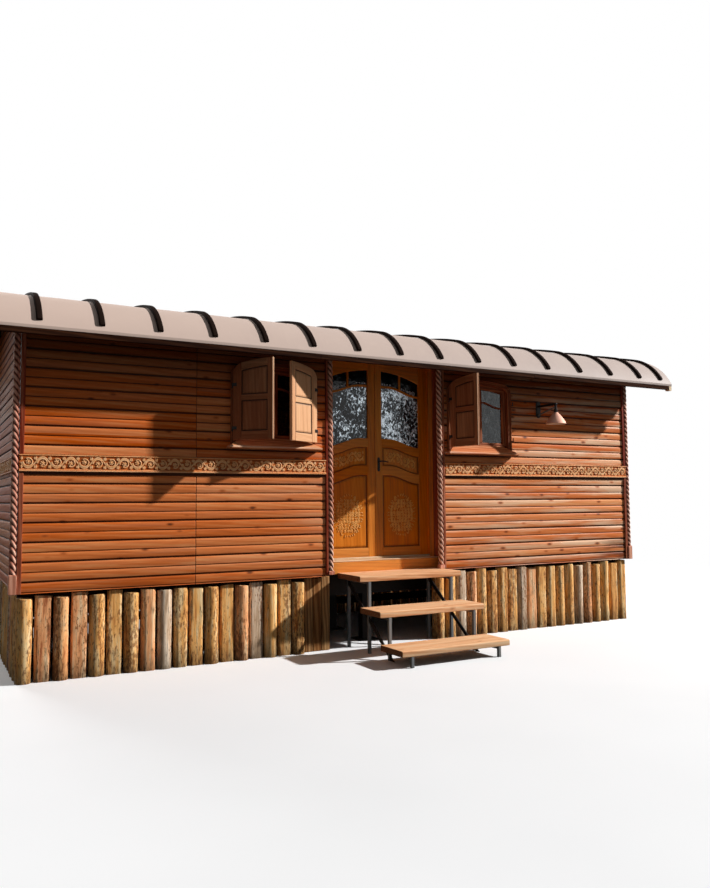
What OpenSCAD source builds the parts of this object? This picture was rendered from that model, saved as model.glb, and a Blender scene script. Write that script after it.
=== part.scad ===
// Living hut on a timber deck: arched double doors in a recess, shuttered
// windows, twisted columns, a bowed metal roof and a skirt of upright logs.
// X runs along the front, Y into the hut, Z up. The origin is on the ground
// under the middle of the body.

/* [Body] */
// Length of the body between the outer faces of its end walls
body_l = 6900; // [5400:50:8400]
// Depth of the body between its front and back faces
body_d = 2400; // [1900:50:2900]
// Thickness of the framed and boarded walls
wall_t = 90; // [60:5:120]
// Height of the walls' lower edge above the ground
deck_z = 720; // [500:10:900]
// Thickness of the floor deck
deck_t = 130; // [90:5:180]

/* [Roof] */
// Overhang of the eaves past the front and back faces
eave_out = 380; // [300:10:450]
// Overhang of the roof past the end walls
end_out = 435; // [300:5:500]
// Height of the roof sheet's lower edge above the deck's underside
eave_rise = 2130; // [2100:10:2400]
// Radius of the roof's shoulders
shoulder_r = 660; // [500:10:750]
// Slope where the shoulder meets the flat crown, in degrees
crown_a = 14.5; // [12:0.5:18]
// Slope of the roof at the eaves, in degrees
foot_a = 62; // [50:1:68]
// Distance between the middles of neighbouring roof ribs
rib_pitch = 480; // [380:10:640]
// Distance from the roof's end to the middle of its last rib
verge = 165; // [60:5:200]
// Thickness of the metal roof sheet
sheet_t = 4; // [2:1:6]
// Thickness of the roof boards
boards_t = 24; // [18:1:32]
// Width of a roof rib
rib_w = 48; // [30:2:60]
// Height of a roof rib
rib_h = 26; // [15:1:40]
// Height of the fascia board
fascia_h = 76; // [60:2:80]

/* [Doorway] */
// Distance of the doorway's middle from the body's middle
door_x = 40; // [-300:10:300]
// Clear width of the recess
recess_w = 1420; // [1200:10:1700]
// Depth from the front face to the outer face of the doors
recess_d = 250; // [200:5:350]
// Thickness of the recess's side walls
cheek_t = 45; // [30:5:60]
// Width of a door jamb's face
jamb_w = 46; // [36:1:60]
// Height of a door leaf
leaf_h = 2057; // [1900:1:2060]
// Thickness of a door leaf
leaf_t = 45; // [38:1:55]
// Clearance round each door leaf
leaf_gap = 5; // [5:1:8]

/* [Windows] */
// Distance from the recess to the nearer window's edge
win_gap = 40; // [40:5:400]
// Outer width of a window frame
win_w = 860; // [700:10:1040]
// Height of a window's foot above the deck's underside
win_rise = 1280; // [1200:10:1320]
// Outer height of a window frame at its crown
win_h = 770; // [700:10:780]
// Rise of a window's arched head
win_arch = 150; // [145:5:200]
// Radius of the shoulders of a window's arched head
win_r = 120; // [80:5:135]
// Width of a window frame's face
win_face = 50; // [40:2:60]
// How far a window frame stands out of the wall
win_proud = 40; // [25:1:50]
// Thickness of a shutter
shutter_t = 28; // [22:1:34]

/* [Columns] */
// Radius of a twisted column
column_r = 29; // [22:1:32]
// Number of strands in a twisted column
strands = 3; // [2:1:4]
// Height in which a strand turns once round its column
twist_lead = 174; // [120:2:260]

/* [Skirt and steps] */
// Distance between the middles of neighbouring skirt logs
log_pitch = 140; // [120:5:180]
// Left edge of the dark gap under the doorway, from the doorway's middle
gap_left = 630; // [600:10:800]
// Right edge of the dark gap under the doorway, from the doorway's middle
gap_right = 580; // [500:10:800]
// Width of the steps
tread_w = 1180; // [900:10:1400]
// Distance of the steps' middle from the doorway's middle
stair_off = 84; // [-100:2:100]
// Height of the lowest tread's top
low_tread = 152; // [120:2:180]
// Distance from tread edge to tread edge
tread_going = 373; // [300:1:400]
// Thickness of a tread
tread_t = 54; // [40:1:70]

/* [Hidden] */

$fn = 64;

// Clearance between seated pieces
seat = 0.3;

half_l = body_l/2;
half_d = body_d/2;
front_y = -half_d;
floor_z = deck_z + deck_t;

// Roof arc: a flat crown and two tighter shoulders
eave_z = deck_z + eave_rise;
half_span = half_d + eave_out;
half_roof = half_l + end_out;
shoulder_y = half_span - shoulder_r*sin(foot_a);
shoulder_z = eave_z - shoulder_r*cos(foot_a);
crown_r = shoulder_y/sin(crown_a) + shoulder_r;
crown_z = shoulder_z - (crown_r - shoulder_r)*cos(crown_a);
crown_steps = 12;
shoulder_steps = 12;
under_roof = sheet_t + boards_t + seat;

function roof_angles(foot) = concat(
    [for (i = [0:shoulder_steps - 1]) -foot + i*(foot - crown_a)/shoulder_steps],
    [for (i = [0:crown_steps]) -crown_a + i*2*crown_a/crown_steps],
    [for (i = [1:shoulder_steps]) crown_a + i*(foot - crown_a)/shoulder_steps]);
function roof_point(a, inset) = abs(a) <= crown_a
    ? [(crown_r - inset)*sin(a), crown_z + (crown_r - inset)*cos(a)]
    : [sign(a)*(shoulder_y + (shoulder_r - inset)*sin(abs(a))),
       shoulder_z + (shoulder_r - inset)*cos(a)];
function roof_arc(inset, last = foot_a) =
    [for (a = roof_angles(foot_a)) if (abs(a) <= last) roof_point(a, inset)];
// Height of the boards' underside at distance y from the middle
function roof_under(y) = y > shoulder_y + (shoulder_r - under_roof)*sin(crown_a)
    ? shoulder_z + sqrt(pow(shoulder_r - under_roof, 2) - pow(y - shoulder_y, 2))
    : crown_z + sqrt(pow(crown_r - under_roof, 2) - pow(y, 2));
function reversed(v) = [for (i = [len(v) - 1:-1:0]) v[i]];

// Recess and doors
recess_x0 = door_x - recess_w/2;
recess_x1 = door_x + recess_w/2;
leaf_y = front_y + recess_d;
stop_t = 22;
jamb_y0 = leaf_y - leaf_gap - stop_t;
jamb_y1 = leaf_y + leaf_t;
stop_w = 14;
bar_h = 22;
mould = [16, 10];
leaf_w = recess_w/2 - jamb_w - 1.5*leaf_gap;
leaf_z = floor_z + 8;
head_z = leaf_z + leaf_h + leaf_gap;
head_h = 46;
header_z = head_z + 10;
soffit_t = 20;
pin_r = 5;
pin_gap = 0.05;
eye_r = 9;

// Door leaf: stiles, rails and the double curve of the rails
meet_stile = 80;
hinge_stile = 106;
arch_r = 1380;
glass_top = leaf_h - 85;
glass_foot = 1247;
curve_drop = 91;
panel_in = 12;
panel_u0 = meet_stile + 12;
panel_u1 = leaf_w - hinge_stile;
field_in = 5;
field_margin = 34;
field_rise = 24;
upper_panel = [962, 1155];
lower_panel = [104, 864];

// Windows
win_z = deck_z + win_rise;
// Three-centred head: the crown's radius, and the slope where it meets a shoulder
crown_wr = (pow(win_w/2, 2) + pow(win_arch, 2) - win_w*win_r)/(2*(win_arch - win_r));
crown_wa = atan((win_w/2 - win_r)/(crown_wr - win_arch));
// Both windows lie as far from the body's middle as the one nearer to the recess
win_off = abs(door_x) + recess_w/2 + win_gap + win_w/2;
win_xs = [-win_off, win_off];
casement_w = 56;
casement_foot = 30;
casement_t = 40;
mullion_w = 90;
meeting_gap = 4;
meeting_depth = 6;
hole_in = win_face - 6;
glass_t = 5;
bead_w = 14;
bead_out = 9;
sill_out = 105;
sill_side = 39;
// Heights of the sill's underside, of its nose, and of its slope under the shutters and at the
// casement
sill_z = [-68, -55, -40, 3, win_face];
// Distance of the sill's hipped ends from its sides at the casement
sill_hip = 147;

// Shutters
shutter_y = front_y - win_proud - 5 - shutter_t/2;
shutter_w = win_w/2 - 12.5;
shutter_foot = 14;
shutter_in = 12;
shutter_head = 70;
hinge_side = 84;
free_side = 54;
shutter_sink = 8;
shutter_field = 24;
// Heights of the lower panel and the foot of the upper one
shutter_lower = [shutter_foot + 78, shutter_foot + 363];
shutter_upper = shutter_foot + 413;

// Carved band and its ledge
frieze_z = deck_z + 1000;
frieze_h = 130;
frieze_t = 20;
ledge_out = 34;
ledge_h = 20;

// Eaves: the sheet's turned-down lip and the fascia behind it
lip_h = 28;
lip_in = 1;
fascia_t = 26;
barge_t = 44;
rib_stop = 2;

// Underframe
chassis_y = half_d - 440;
post_x = half_l - 850;
beam_h = 240;

// Columns
twist_depth = 9;
column_set = 5;
column_top = roof_under(half_d - column_set + column_r) - 1;
plinth = 2*column_r + 2;
corner_plinth_h = 160;
recess_plinth_h = 40;
corner_trim_w = 36;
corner_trim_t = 14;
trim_t = 26;
trim_out = 14;

// Steps
step_x = door_x + stair_off;
tread_z = deck_z + 14;
tread_rise = (tread_z - low_tread)/2;
tread_front = front_y - 314;
tread_back = front_y + 146;

// Skirt
log_in = 70;
rail_t = 40;
plank_w = 92;
plank_t = 26;

module along_x(x0, x1) { translate([x0, 0, 0]) rotate([90, 0, 90]) linear_extrude(x1 - x0) children(); }
module along_y(y0, y1) { translate([0, y1, 0]) rotate([90, 0, 0]) linear_extrude(y1 - y0) children(); }
module box(x, y, z) { translate([x[0], y[0], z[0]]) cube([x[1] - x[0], y[1] - y[0], z[1] - z[0]]); }

// Cross-section of the space under the roof boards, down to height z
module under_roof_2d(z) {
    arc = roof_arc(under_roof);
    polygon(concat([[arc[0][0], z]], arc, [[arc[len(arc) - 1][0], z]]));
}

module wall_profile(y0, y1, z) {
    intersection() {
        under_roof_2d(z);
        translate([y0, z]) square([y1 - y0, 2*eave_z]);
    }
}

// Outline of a window with its arched head, shrunk by inset all round
module window_2d(inset) {
    polygon(concat([[-win_w/2 + inset, inset], [win_w/2 - inset, inset]], head_points(inset)));
}

// Points of the arched head from the right springing over the crown to the left one
function head_points(inset) =
    let (r = max(1, win_r - inset),
         right = [for (i = [0:7]) let (t = i*(90 - crown_wa)/7)
             [win_w/2 - win_r + r*cos(t), win_h - win_arch + r*sin(t)]],
         crown = [for (i = [-5:5]) let (t = -i*crown_wa/6)
             [(crown_wr - inset)*sin(t), win_h - crown_wr + (crown_wr - inset)*cos(t)]],
         left = [for (p = reversed(right)) [-p[0], p[1]]])
    concat(right, crown, left);

module window_holes(y0, y1) {
    for (x = win_xs)
        translate([x, 0, win_z]) along_y(y0, y1) window_2d(hole_in);
}

// Deck and underframe
module support_posts() {
    post_w = 90;
    plate_w = 220;
    plate_t = 12;
    color("dimgray")
    for (p = concat([[0, 0]], [for (x = [-post_x, 0, post_x], y = [-chassis_y, chassis_y]) [x, y]]))
        translate([p[0], p[1], 0]) {
            box([-post_w/2, post_w/2], [-post_w/2, post_w/2], [plate_t, deck_z - beam_h]);
            box([-plate_w/2, plate_w/2], [-plate_w/2, plate_w/2], [0, plate_t]);
        }
}

module chassis_beams() {
    beam_end = half_l - log_in - 30 - rail_t - 20;
    color("dimgray") {
        for (y = [-chassis_y, chassis_y])
            box([-beam_end, beam_end], [y - 40, y + 40], [deck_z - beam_h, deck_z]);
        for (x = [-post_x, -post_x/2, 0, post_x/2, post_x])
            box([x - 35, x + 35], [-chassis_y, chassis_y], [deck_z - beam_h, deck_z - beam_h/2]);
    }
}

module floor_deck() {
    color("saddlebrown")
    difference() {
        box([-half_l + wall_t, half_l - wall_t], [front_y + wall_t, half_d - wall_t], [deck_z, floor_z]);
        box([recess_x0, recess_x1], [front_y, jamb_y1], [deck_z - 1, floor_z + 1]);
    }
}

// Walls
module front_wall_left() {
    color("peru")
    difference() {
        along_x(-half_l + wall_t, recess_x0) wall_profile(front_y, front_y + wall_t, deck_z);
        window_holes(front_y - 1, front_y + wall_t + 1);
    }
}

module front_wall_right() {
    color("peru")
    difference() {
        along_x(recess_x1, half_l - wall_t) wall_profile(front_y, front_y + wall_t, deck_z);
        window_holes(front_y - 1, front_y + wall_t + 1);
    }
}

module recess_cheeks() {
    color("peru") {
        along_x(recess_x0 - cheek_t, recess_x0) wall_profile(front_y + wall_t, jamb_y1, floor_z);
        along_x(recess_x1, recess_x1 + cheek_t) wall_profile(front_y + wall_t, jamb_y1, floor_z);
    }
}

module recess_header() {
    color("peru")
    along_x(recess_x0, recess_x1)
        difference() {
            wall_profile(front_y, jamb_y0, header_z);
            translate([front_y + wall_t, header_z + soffit_t]) square([recess_d, 2*eave_z]);
        }
}

module door_lintel() {
    color("peru")
    along_x(recess_x0, recess_x1) wall_profile(jamb_y0, jamb_y1, head_z + head_h);
}

module back_wall() {
    color("peru")
    difference() {
        along_x(-half_l + wall_t, half_l - wall_t) wall_profile(half_d - wall_t, half_d, deck_z);
        window_holes(half_d - wall_t - 1, half_d + 1);
    }
}

module end_wall_left() {
    color("peru") along_x(-half_l, -half_l + wall_t) wall_profile(-half_d, half_d, deck_z);
}

module end_wall_right() {
    color("peru") along_x(half_l - wall_t, half_l) wall_profile(-half_d, half_d, deck_z);
}

// Posts, columns and trims
module corner_posts() {
    color("saddlebrown")
    for (sx = [-1, 1], sy = [-1, 1])
        scale([sx, sy, 1])
            along_x(half_l - corner_trim_w, half_l)
                difference() {
                    wall_profile(half_d, half_d + corner_trim_t, deck_z);
                    translate([half_d - 1, frieze_z - ledge_h])
                        square([corner_trim_t + 2, frieze_h + ledge_h]);
                }
}

module recess_trims() {
    color("sienna")
    for (x = [recess_x0, recess_x1 - trim_t])
        box([x, x + trim_t], [front_y - trim_out, front_y + wall_t], [tread_z + 4, header_z]);
}

// Twisted column whose strands rise from right to left, on a square plinth
module column(z0, z1, plinth_h) {
    turns = (z1 - z0 - plinth_h)/twist_lead;
    points = 3*strands;
    translate([0, 0, z0 + plinth_h])
        linear_extrude(z1 - z0 - plinth_h, twist = 360*turns, slices = ceil(8*turns), segments = points)
            polygon([for (i = [0:points - 1])
                let (r = i % 3 == 0 ? column_r - twist_depth : column_r, a = i*360/points)
                    [r*cos(a), r*sin(a)]]);
    translate([-plinth/2, -plinth/2, z0]) cube([plinth, plinth, plinth_h]);
}

module recess_columns() {
    color("sienna")
    for (x = [recess_x0 + trim_t + plinth/2 + seat, recess_x1 - trim_t - plinth/2 - seat])
        translate([x, front_y + column_set, 0]) column(tread_z + seat, header_z - seat, recess_plinth_h);
}

module corner_columns() {
    color("sienna")
    for (sx = [-1, 1], sy = [-1, 1])
        translate([sx*(half_l + plinth/2 + seat), sy*(half_d - column_set), 0])
            column(deck_z, column_top, corner_plinth_h);
}

module frieze_boards() {
    frieze_end = half_d - column_set - plinth/2 - 5;
    color("burlywood") {
        for (x = [[-half_l, recess_x0], [recess_x1, half_l]])
            along_x(x[0], x[1]) frieze_2d(front_y, -1);
        along_x(-half_l, half_l) frieze_2d(half_d, 1);
        for (s = [-1, 1])
            box([s > 0 ? half_l : -half_l - frieze_t, s > 0 ? half_l + frieze_t : -half_l],
                [-frieze_end, frieze_end], [frieze_z, frieze_z + frieze_h]);
    }
}

// Band and ledge standing out of the face at y, in direction s
module frieze_2d(y, s) {
    polygon([[y, frieze_z - ledge_h], [y + s*ledge_out, frieze_z - ledge_h],
        [y + s*ledge_out, frieze_z - 4], [y + s*frieze_t, frieze_z],
        [y + s*frieze_t, frieze_z + frieze_h], [y, frieze_z + frieze_h]]);
}

// Door frame
module door_jambs() {
    color("sienna")
    for (s = [-1, 1])
        translate([door_x, 0, 0]) scale([s, 1, 1]) {
            box([recess_w/2 - jamb_w, recess_w/2], [jamb_y0, jamb_y1], [floor_z, head_z]);
            box([recess_w/2 - jamb_w - stop_w, recess_w/2 - jamb_w], [jamb_y0, leaf_y - leaf_gap],
                [floor_z + bar_h, head_z]);
            box([recess_w/2 - mould[0], recess_w/2], [jamb_y0 - mould[1], jamb_y0],
                [floor_z, header_z - seat]);
        }
}

module door_head() {
    color("sienna") {
        box([recess_x0, recess_x1], [jamb_y0, jamb_y1], [head_z, head_z + head_h]);
        box([recess_x0 + jamb_w + stop_w, recess_x1 - jamb_w - stop_w], [jamb_y0, leaf_y - leaf_gap],
            [head_z - stop_w, head_z]);
    }
}

module threshold() {
    color("burlywood") {
        box([recess_x0, recess_x1], [tread_back + seat, jamb_y1], [deck_z, floor_z]);
        box([recess_x0 + jamb_w, recess_x1 - jamb_w], [jamb_y0, leaf_y - leaf_gap],
            [floor_z, floor_z + bar_h]);
    }
}

// Smooth step from 0 to 1
function ease(t) = (1 - cos(180*min(1, max(0, t))))/2;
// Height of a curved rail at distance u from the meeting edge, under its high end z
function rail_curve(u, z) = z - curve_drop*ease((u/leaf_w - 0.25)/0.6);
function rail_points(u0, u1, z) = [for (i = [0:14]) let (u = u0 + i*(u1 - u0)/14) [u, rail_curve(u, z)]];

// Region of a leaf between two curved rails
module curved_panel_2d(u0, u1, z0, z1) {
    polygon(concat(rail_points(u0, u1, z0), reversed(rail_points(u0, u1, z1))));
}

module lower_panel_2d(u0, u1, z0, z1) {
    polygon(concat([[u0, z0], [u1, z0]], reversed(rail_points(u0, u1, z1))));
}

module leaf_glass_2d() {
    intersection() {
        translate([-leaf_gap/2, glass_top - arch_r]) circle(arch_r, $fn = 256);
        polygon(concat(rail_points(meet_stile, leaf_w - hinge_stile, glass_foot),
            [[leaf_w - hinge_stile, leaf_h], [meet_stile, leaf_h]]));
    }
}

// One leaf with its meeting edge at x = 0, its outer face at y = 0
module leaf_frame() {
    difference() {
        along_y(0, leaf_t) square([leaf_w, leaf_h]);
        along_y(-1, leaf_t + 1) leaf_glass_2d();
        for (y = [[-1, panel_in], [leaf_t - panel_in, leaf_t + 1]])
            along_y(y[0], y[1]) {
                curved_panel_2d(panel_u0, panel_u1, upper_panel[0], upper_panel[1]);
                lower_panel_2d(panel_u0, panel_u1, lower_panel[0], lower_panel[1]);
            }
    }
    for (y = [[field_in, panel_in], [leaf_t - panel_in, leaf_t - field_in]])
        along_y(y[0], y[1]) {
            curved_panel_2d(panel_u0 + field_margin, panel_u1 - field_margin,
                upper_panel[0] + field_rise, upper_panel[1] - field_rise);
            lower_panel_2d(panel_u0 + field_margin, panel_u1 - field_margin,
                lower_panel[0] + field_margin, lower_panel[1] - field_margin);
        }
}

module place_leaf(s) {
    translate([door_x, leaf_y, leaf_z]) scale([s, 1, 1]) translate([leaf_gap/2, 0, 0]) children();
}

hinge_zs = [160, leaf_h/2, leaf_h - 160];
eye_h = 60;
collar_h = 14;
strap_t = 6;
axis_y = leaf_t + eye_r + 1;

// Eyes on the leaf that turn on the jamb's pins
module leaf_eyes() {
    for (z = hinge_zs)
        difference() {
            union() {
                translate([leaf_w + leaf_gap, axis_y, z]) cylinder(r = eye_r, h = eye_h);
                box([leaf_w - 50, leaf_w + leaf_gap], [leaf_t, leaf_t + strap_t], [z, z + eye_h]);
            }
            translate([leaf_w + leaf_gap, axis_y, z - 1]) cylinder(r = pin_r + pin_gap, h = eye_h + 2);
        }
}

module door_leaf_left() { color("chocolate") place_leaf(-1) { leaf_frame(); leaf_eyes(); } }
module door_leaf_right() { color("chocolate") place_leaf(1) { leaf_frame(); leaf_eyes(); } }

module leaf_glass() { along_y(leaf_t/2 - glass_t/2, leaf_t/2 + glass_t/2) leaf_glass_2d(); }
module door_glass_left() { color("lightblue", 0.4) place_leaf(-1) leaf_glass(); }
module door_glass_right() { color("lightblue", 0.4) place_leaf(1) leaf_glass(); }

module door_handle() {
    plate = [30, 150];
    plate_t = 4;
    plate_u = 26;
    plate_z = 900;
    keyhole = [38, 4];
    neck = [8, 34];
    lever = [103, 16, 12];
    mid = plate_u + plate[0]/2;
    lever_z = plate_z + 105;
    color("dimgray")
    place_leaf(1) {
        for (y = [[-plate_t, 0], [leaf_t, leaf_t + plate_t]])
            along_y(y[0], y[1]) difference() {
                union() {
                    translate([plate_u, plate_z + plate[0]/2]) square([plate[0], plate[1] - plate[0]]);
                    for (end = [plate_z + plate[0]/2, plate_z + plate[1] - plate[0]/2])
                        translate([mid, end]) circle(plate[0]/2);
                }
                translate([mid, plate_z + keyhole[0]]) circle(keyhole[1]);
                translate([mid - keyhole[1]/2, plate_z + keyhole[0] - 4*keyhole[1]])
                    square([keyhole[1], 4*keyhole[1]]);
            }
        for (y = [-plate_t - neck[1], leaf_t + plate_t])
            translate([mid, y, lever_z]) rotate([-90, 0, 0]) cylinder(r = neck[0], h = neck[1]);
        for (y = [-plate_t - neck[1] - lever[2], leaf_t + plate_t + neck[1]])
            box([mid - neck[0], mid - neck[0] + lever[0]], [y, y + lever[2]],
                [lever_z - lever[1]/2, lever_z + lever[1]/2]);
    }
}

module door_hinge_pins() {
    color("dimgray")
    for (s = [-1, 1])
        place_leaf(s)
            for (z = hinge_zs) {
                translate([leaf_w + leaf_gap, axis_y, z - collar_h])
                    cylinder(r = pin_r, h = eye_h + collar_h);
                translate([leaf_w + leaf_gap, axis_y, z - collar_h]) cylinder(r = eye_r, h = collar_h - 1);
                box([leaf_w + leaf_gap, leaf_w + leaf_gap + 30], [leaf_t, leaf_t + strap_t],
                    [z - collar_h, z - 1]);
            }
}

// Windows: each face of the hut takes the same frame, turned to face outwards
module on_each_window() {
    for (x = win_xs) {
        translate([x, front_y, win_z]) children();
        translate([x, half_d, win_z]) rotate([0, 0, 180]) children();
    }
}

module window_frames() {
    color("sienna")
    on_each_window() {
        difference() {
            along_y(-win_proud, 0) {
                window_2d(0);
                for (s = [-1, 1])
                    translate([s*(win_w - win_face)/2 - win_face/2, sill_z[2]]) square([win_face, win_h/2]);
            }
            along_y(-win_proud - 1, bead_out - win_proud) {
                window_2d(bead_w);
                translate([bead_w - win_w/2, sill_z[0] - 1]) square([win_w - 2*bead_w, win_h/2]);
            }
            along_y(-win_proud - 1, 1) {
                window_2d(win_face);
                translate([win_face - win_w/2, sill_z[0] - 1]) square([win_w - 2*win_face, win_h/2]);
            }
            window_sill(seat);
        }
        difference() {
            along_y(0, wall_t) window_2d(hole_in);
            along_y(-1, wall_t + 1) window_2d(win_face);
        }
    }
}

module window_casements() {
    color("chocolate")
    on_each_window()
        difference() {
            along_y(0, casement_t) window_2d(win_face);
            along_y(-1, casement_t + 1) panes_2d();
            for (y = [[-1, meeting_depth], [casement_t - meeting_depth, casement_t + 1]])
                along_y(y[0], y[1]) translate([-meeting_gap/2, 0]) square([meeting_gap, win_h]);
        }
}

module window_glass() {
    color("lightblue", 0.4)
    on_each_window()
        along_y(casement_t/2, casement_t/2 + glass_t) panes_2d();
}

// Outlines of both panes, which reach further down than their side rails are wide
module panes_2d() {
    side = win_face + casement_w;
    difference() {
        union() {
            window_2d(side);
            translate([side - win_w/2, win_face + casement_foot]) square([win_w - 2*side, win_h/2]);
        }
        translate([-mullion_w/2, 0]) square([mullion_w, win_h]);
    }
}

// Sloping sill with hipped ends, which the frame's sides stand on, grown by a clearance
module window_sill(grow = 0) {
    half_w = win_w/2 + sill_side;
    intersection() {
        along_x(-half_w - grow, half_w + grow)
            polygon([[grow, sill_z[0]], [25 - sill_out, sill_z[0]], [-sill_out, sill_z[1]],
                [-sill_out, sill_z[2] + grow], [-win_proud - 5, sill_z[3] + grow], [0, sill_z[4] + grow],
                if (grow > 0) [grow, sill_z[4] + grow]]);
        along_y(-sill_out, grow)
            polygon([[-half_w - grow, sill_z[0]], [half_w + grow, sill_z[0]], [half_w + grow, sill_z[2]],
                [half_w - sill_hip + grow, sill_z[4] + grow], [sill_hip - half_w - grow, sill_z[4] + grow],
                [-half_w - grow, sill_z[2]]]);
    }
}
module window_sills() { color("peru") on_each_window() window_sill(); }

// Shutter lying along +X from its hinge axis at the origin, before it is opened. Its
// head follows the window's arch, and both faces have a low and an arched panel.
module shutter_outline(x0, x1, z0, inset) {
    intersection() {
        translate([win_w/2, 0]) window_2d(inset);
        translate([x0, z0]) square([x1 - x0, win_h]);
    }
}

module shutter_panels(margin) {
    x0 = shutter_in + hinge_side + margin;
    x1 = shutter_w - free_side - margin;
    translate([x0, shutter_lower[0] + margin])
        square([x1 - x0, shutter_lower[1] - shutter_lower[0] - 2*margin]);
    shutter_outline(x0, x1, shutter_upper + margin, shutter_in + shutter_head + margin);
}

module shutter_body() {
    groove = 6;
    face = shutter_t/2;
    difference() {
        along_y(-face, face) shutter_outline(shutter_in, shutter_w, shutter_foot, shutter_in);
        for (y = [[-face - 1, shutter_sink - face], [face - shutter_sink, face + 1]])
            along_y(y[0], y[1]) shutter_panels(0);
        box([shutter_w - groove, shutter_w + 1], [-groove/2, groove/2], [0, win_h]);
    }
    for (y = [[shutter_sink/2 - face, shutter_sink - face], [face - shutter_sink, face - shutter_sink/2]])
        along_y(y[0], y[1]) shutter_panels(shutter_field);
    for (z = shutter_hinges)
        difference() {
            union() {
                translate([0, 0, z]) cylinder(r = eye_r, h = strap[1]);
                box([0, strap[0]], [-shutter_t/2 - strap[2], -shutter_t/2], [z, z + strap[1]]);
                box([0, shutter_in], [-shutter_t/2 - strap[2], 0], [z, z + strap[1]]);
            }
            translate([0, 0, z - 1]) cylinder(r = pin_r + pin_gap, h = strap[1] + 2);
        }
}
shutter_hinges = [110, 510];
strap = [120, 30, 4];

// Puts a shutter on the frame's outer edge: side -1 at the left, 1 at the right
module place_shutter(x, side, open) {
    translate([x + side*win_w/2, shutter_y, win_z]) scale([-side, 1, 1]) rotate([0, 0, -open]) children();
}

// Opening angles of the shutters, in degrees from closed
open_left_outer = 49;
open_left_inner = 29;
open_right_inner = 81;

module shutter_left_outer() { color("brown") place_shutter(win_xs[0], -1, open_left_outer) shutter_body(); }
module shutter_left_inner() { color("brown") place_shutter(win_xs[0], 1, open_left_inner) shutter_body(); }
module shutter_right_inner() { color("brown") place_shutter(win_xs[1], -1, open_right_inner) shutter_body(); }

// Pins that carry the shutters, with an empty pair where one shutter is gone
module shutter_pintles() {
    arm = win_proud - 10;
    color("dimgray")
    for (x = win_xs, side = [-1, 1])
        place_shutter(x, side, 0)
            for (z = shutter_hinges) {
                translate([0, 0, z - 10]) cylinder(r = pin_r, h = 40);
                translate([0, 0, z - 12]) cylinder(r = eye_r, h = 10);
                box([-5, 5], [0, shutter_t/2 + 5], [z - 12, z - 2]);
            }
}

// Wall lamp
lamp_x = 2075;
lamp_z = deck_z + 1758;
lamp_out = 290;
lamp_plate = [66, 190, 14];
lamp_arm_r = 9;
shade_r = 114;
shade_h = 130;
shade_t = 4;
shade_neck = 22;
shade_z = lamp_z - 54;

// Long oval wall plate, an upper arm, a brace and the ringed cap over the shade
module lamp_bracket() {
    plate_r = lamp_plate[0]/2;
    plate_low = lamp_z - 90;
    color("dimgray") {
        translate([lamp_x, front_y, 0])
            along_y(-lamp_plate[2], 0) {
                for (z = [plate_low + plate_r, plate_low + lamp_plate[1] - plate_r])
                    translate([0, z]) circle(plate_r);
                translate([-plate_r, plate_low + plate_r]) square([2*plate_r, lamp_plate[1] - 2*plate_r]);
            }
        translate([lamp_x, front_y - lamp_plate[2] + 2, lamp_z + 40])
            rotate([90, 0, 0]) cylinder(r = lamp_arm_r, h = lamp_out - lamp_plate[2]);
        lamp_brace([front_y - lamp_plate[2] + 4, plate_low + plate_r],
            [front_y - lamp_out + 16, lamp_z + 4]);
        translate([lamp_x, front_y - lamp_out, shade_z])
            rotate_extrude()
                polygon([[0, 0], [24, 0], [24, 9], [17, 13], [17, 20], [23, 24], [23, 31], [14, 36], [14, 84],
                    [19, 90], [19, 98], [8, 108], [0, 110]]);
    }
}

// Round bar between two points given as [y, z]
module lamp_brace(from, to) {
    run = to - from;
    translate([lamp_x, from[0], from[1]])
        rotate([atan2(-run[0], run[1]), 0, 0]) cylinder(r = lamp_arm_r - 2, h = norm(run));
}

// Outer line of the slightly bowed cone of the shade, from its neck to its rim, shrunk by inset
function shade_line(inset) = [for (i = [0:10]) let (t = i/10)
    [shade_neck + (shade_r - shade_neck - inset)*(0.6*t + 0.4*sin(90*t)), -shade_h*t - inset*(1 - t)]];

module lamp_shade() {
    color("rosybrown")
    translate([lamp_x, front_y - lamp_out, shade_z])
        rotate_extrude()
            polygon(concat([[0, 0]], shade_line(0), reversed(shade_line(shade_t)), [[0, -shade_t]]));
}

// Roof
module roof_band(inset0, inset1) {
    along_x(-half_roof, half_roof)
        polygon(concat(roof_arc(inset0), reversed(roof_arc(inset1))));
}

module roof_boards() { color("tan") roof_band(sheet_t, sheet_t + boards_t); }

module roof_sheet() {
    color("rosybrown")
    along_x(-half_roof, half_roof) {
        polygon(concat(roof_arc(0), reversed(roof_arc(sheet_t))));
        for (s = [-1, 1])
            scale([s, 1]) translate([half_span - lip_in, eave_z - lip_h]) square([sheet_t, lip_h + 1]);
    }
}

module roof_ribs() {
    last = half_roof - verge;
    count = floor((last - rib_pitch/2)/rib_pitch);
    color("saddlebrown")
    for (x = concat([-last, last], [for (i = [-count:count]) i*rib_pitch]))
        along_x(x - rib_w/2, x + rib_w/2)
            polygon(concat(roof_arc(-rib_h, foot_a - rib_stop),
                reversed(roof_arc(-seat, foot_a - rib_stop))));
}

module fascia_boards() {
    fascia_end = half_roof - barge_t - seat;
    color("saddlebrown")
    for (s = [-1, 1])
        scale([1, s, 1])
            box([-fascia_end, fascia_end], [half_span - lip_in - seat - fascia_t, half_span - lip_in - seat],
                [eave_z - fascia_h, eave_z - under_roof*cos(foot_a)]);
}

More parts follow.
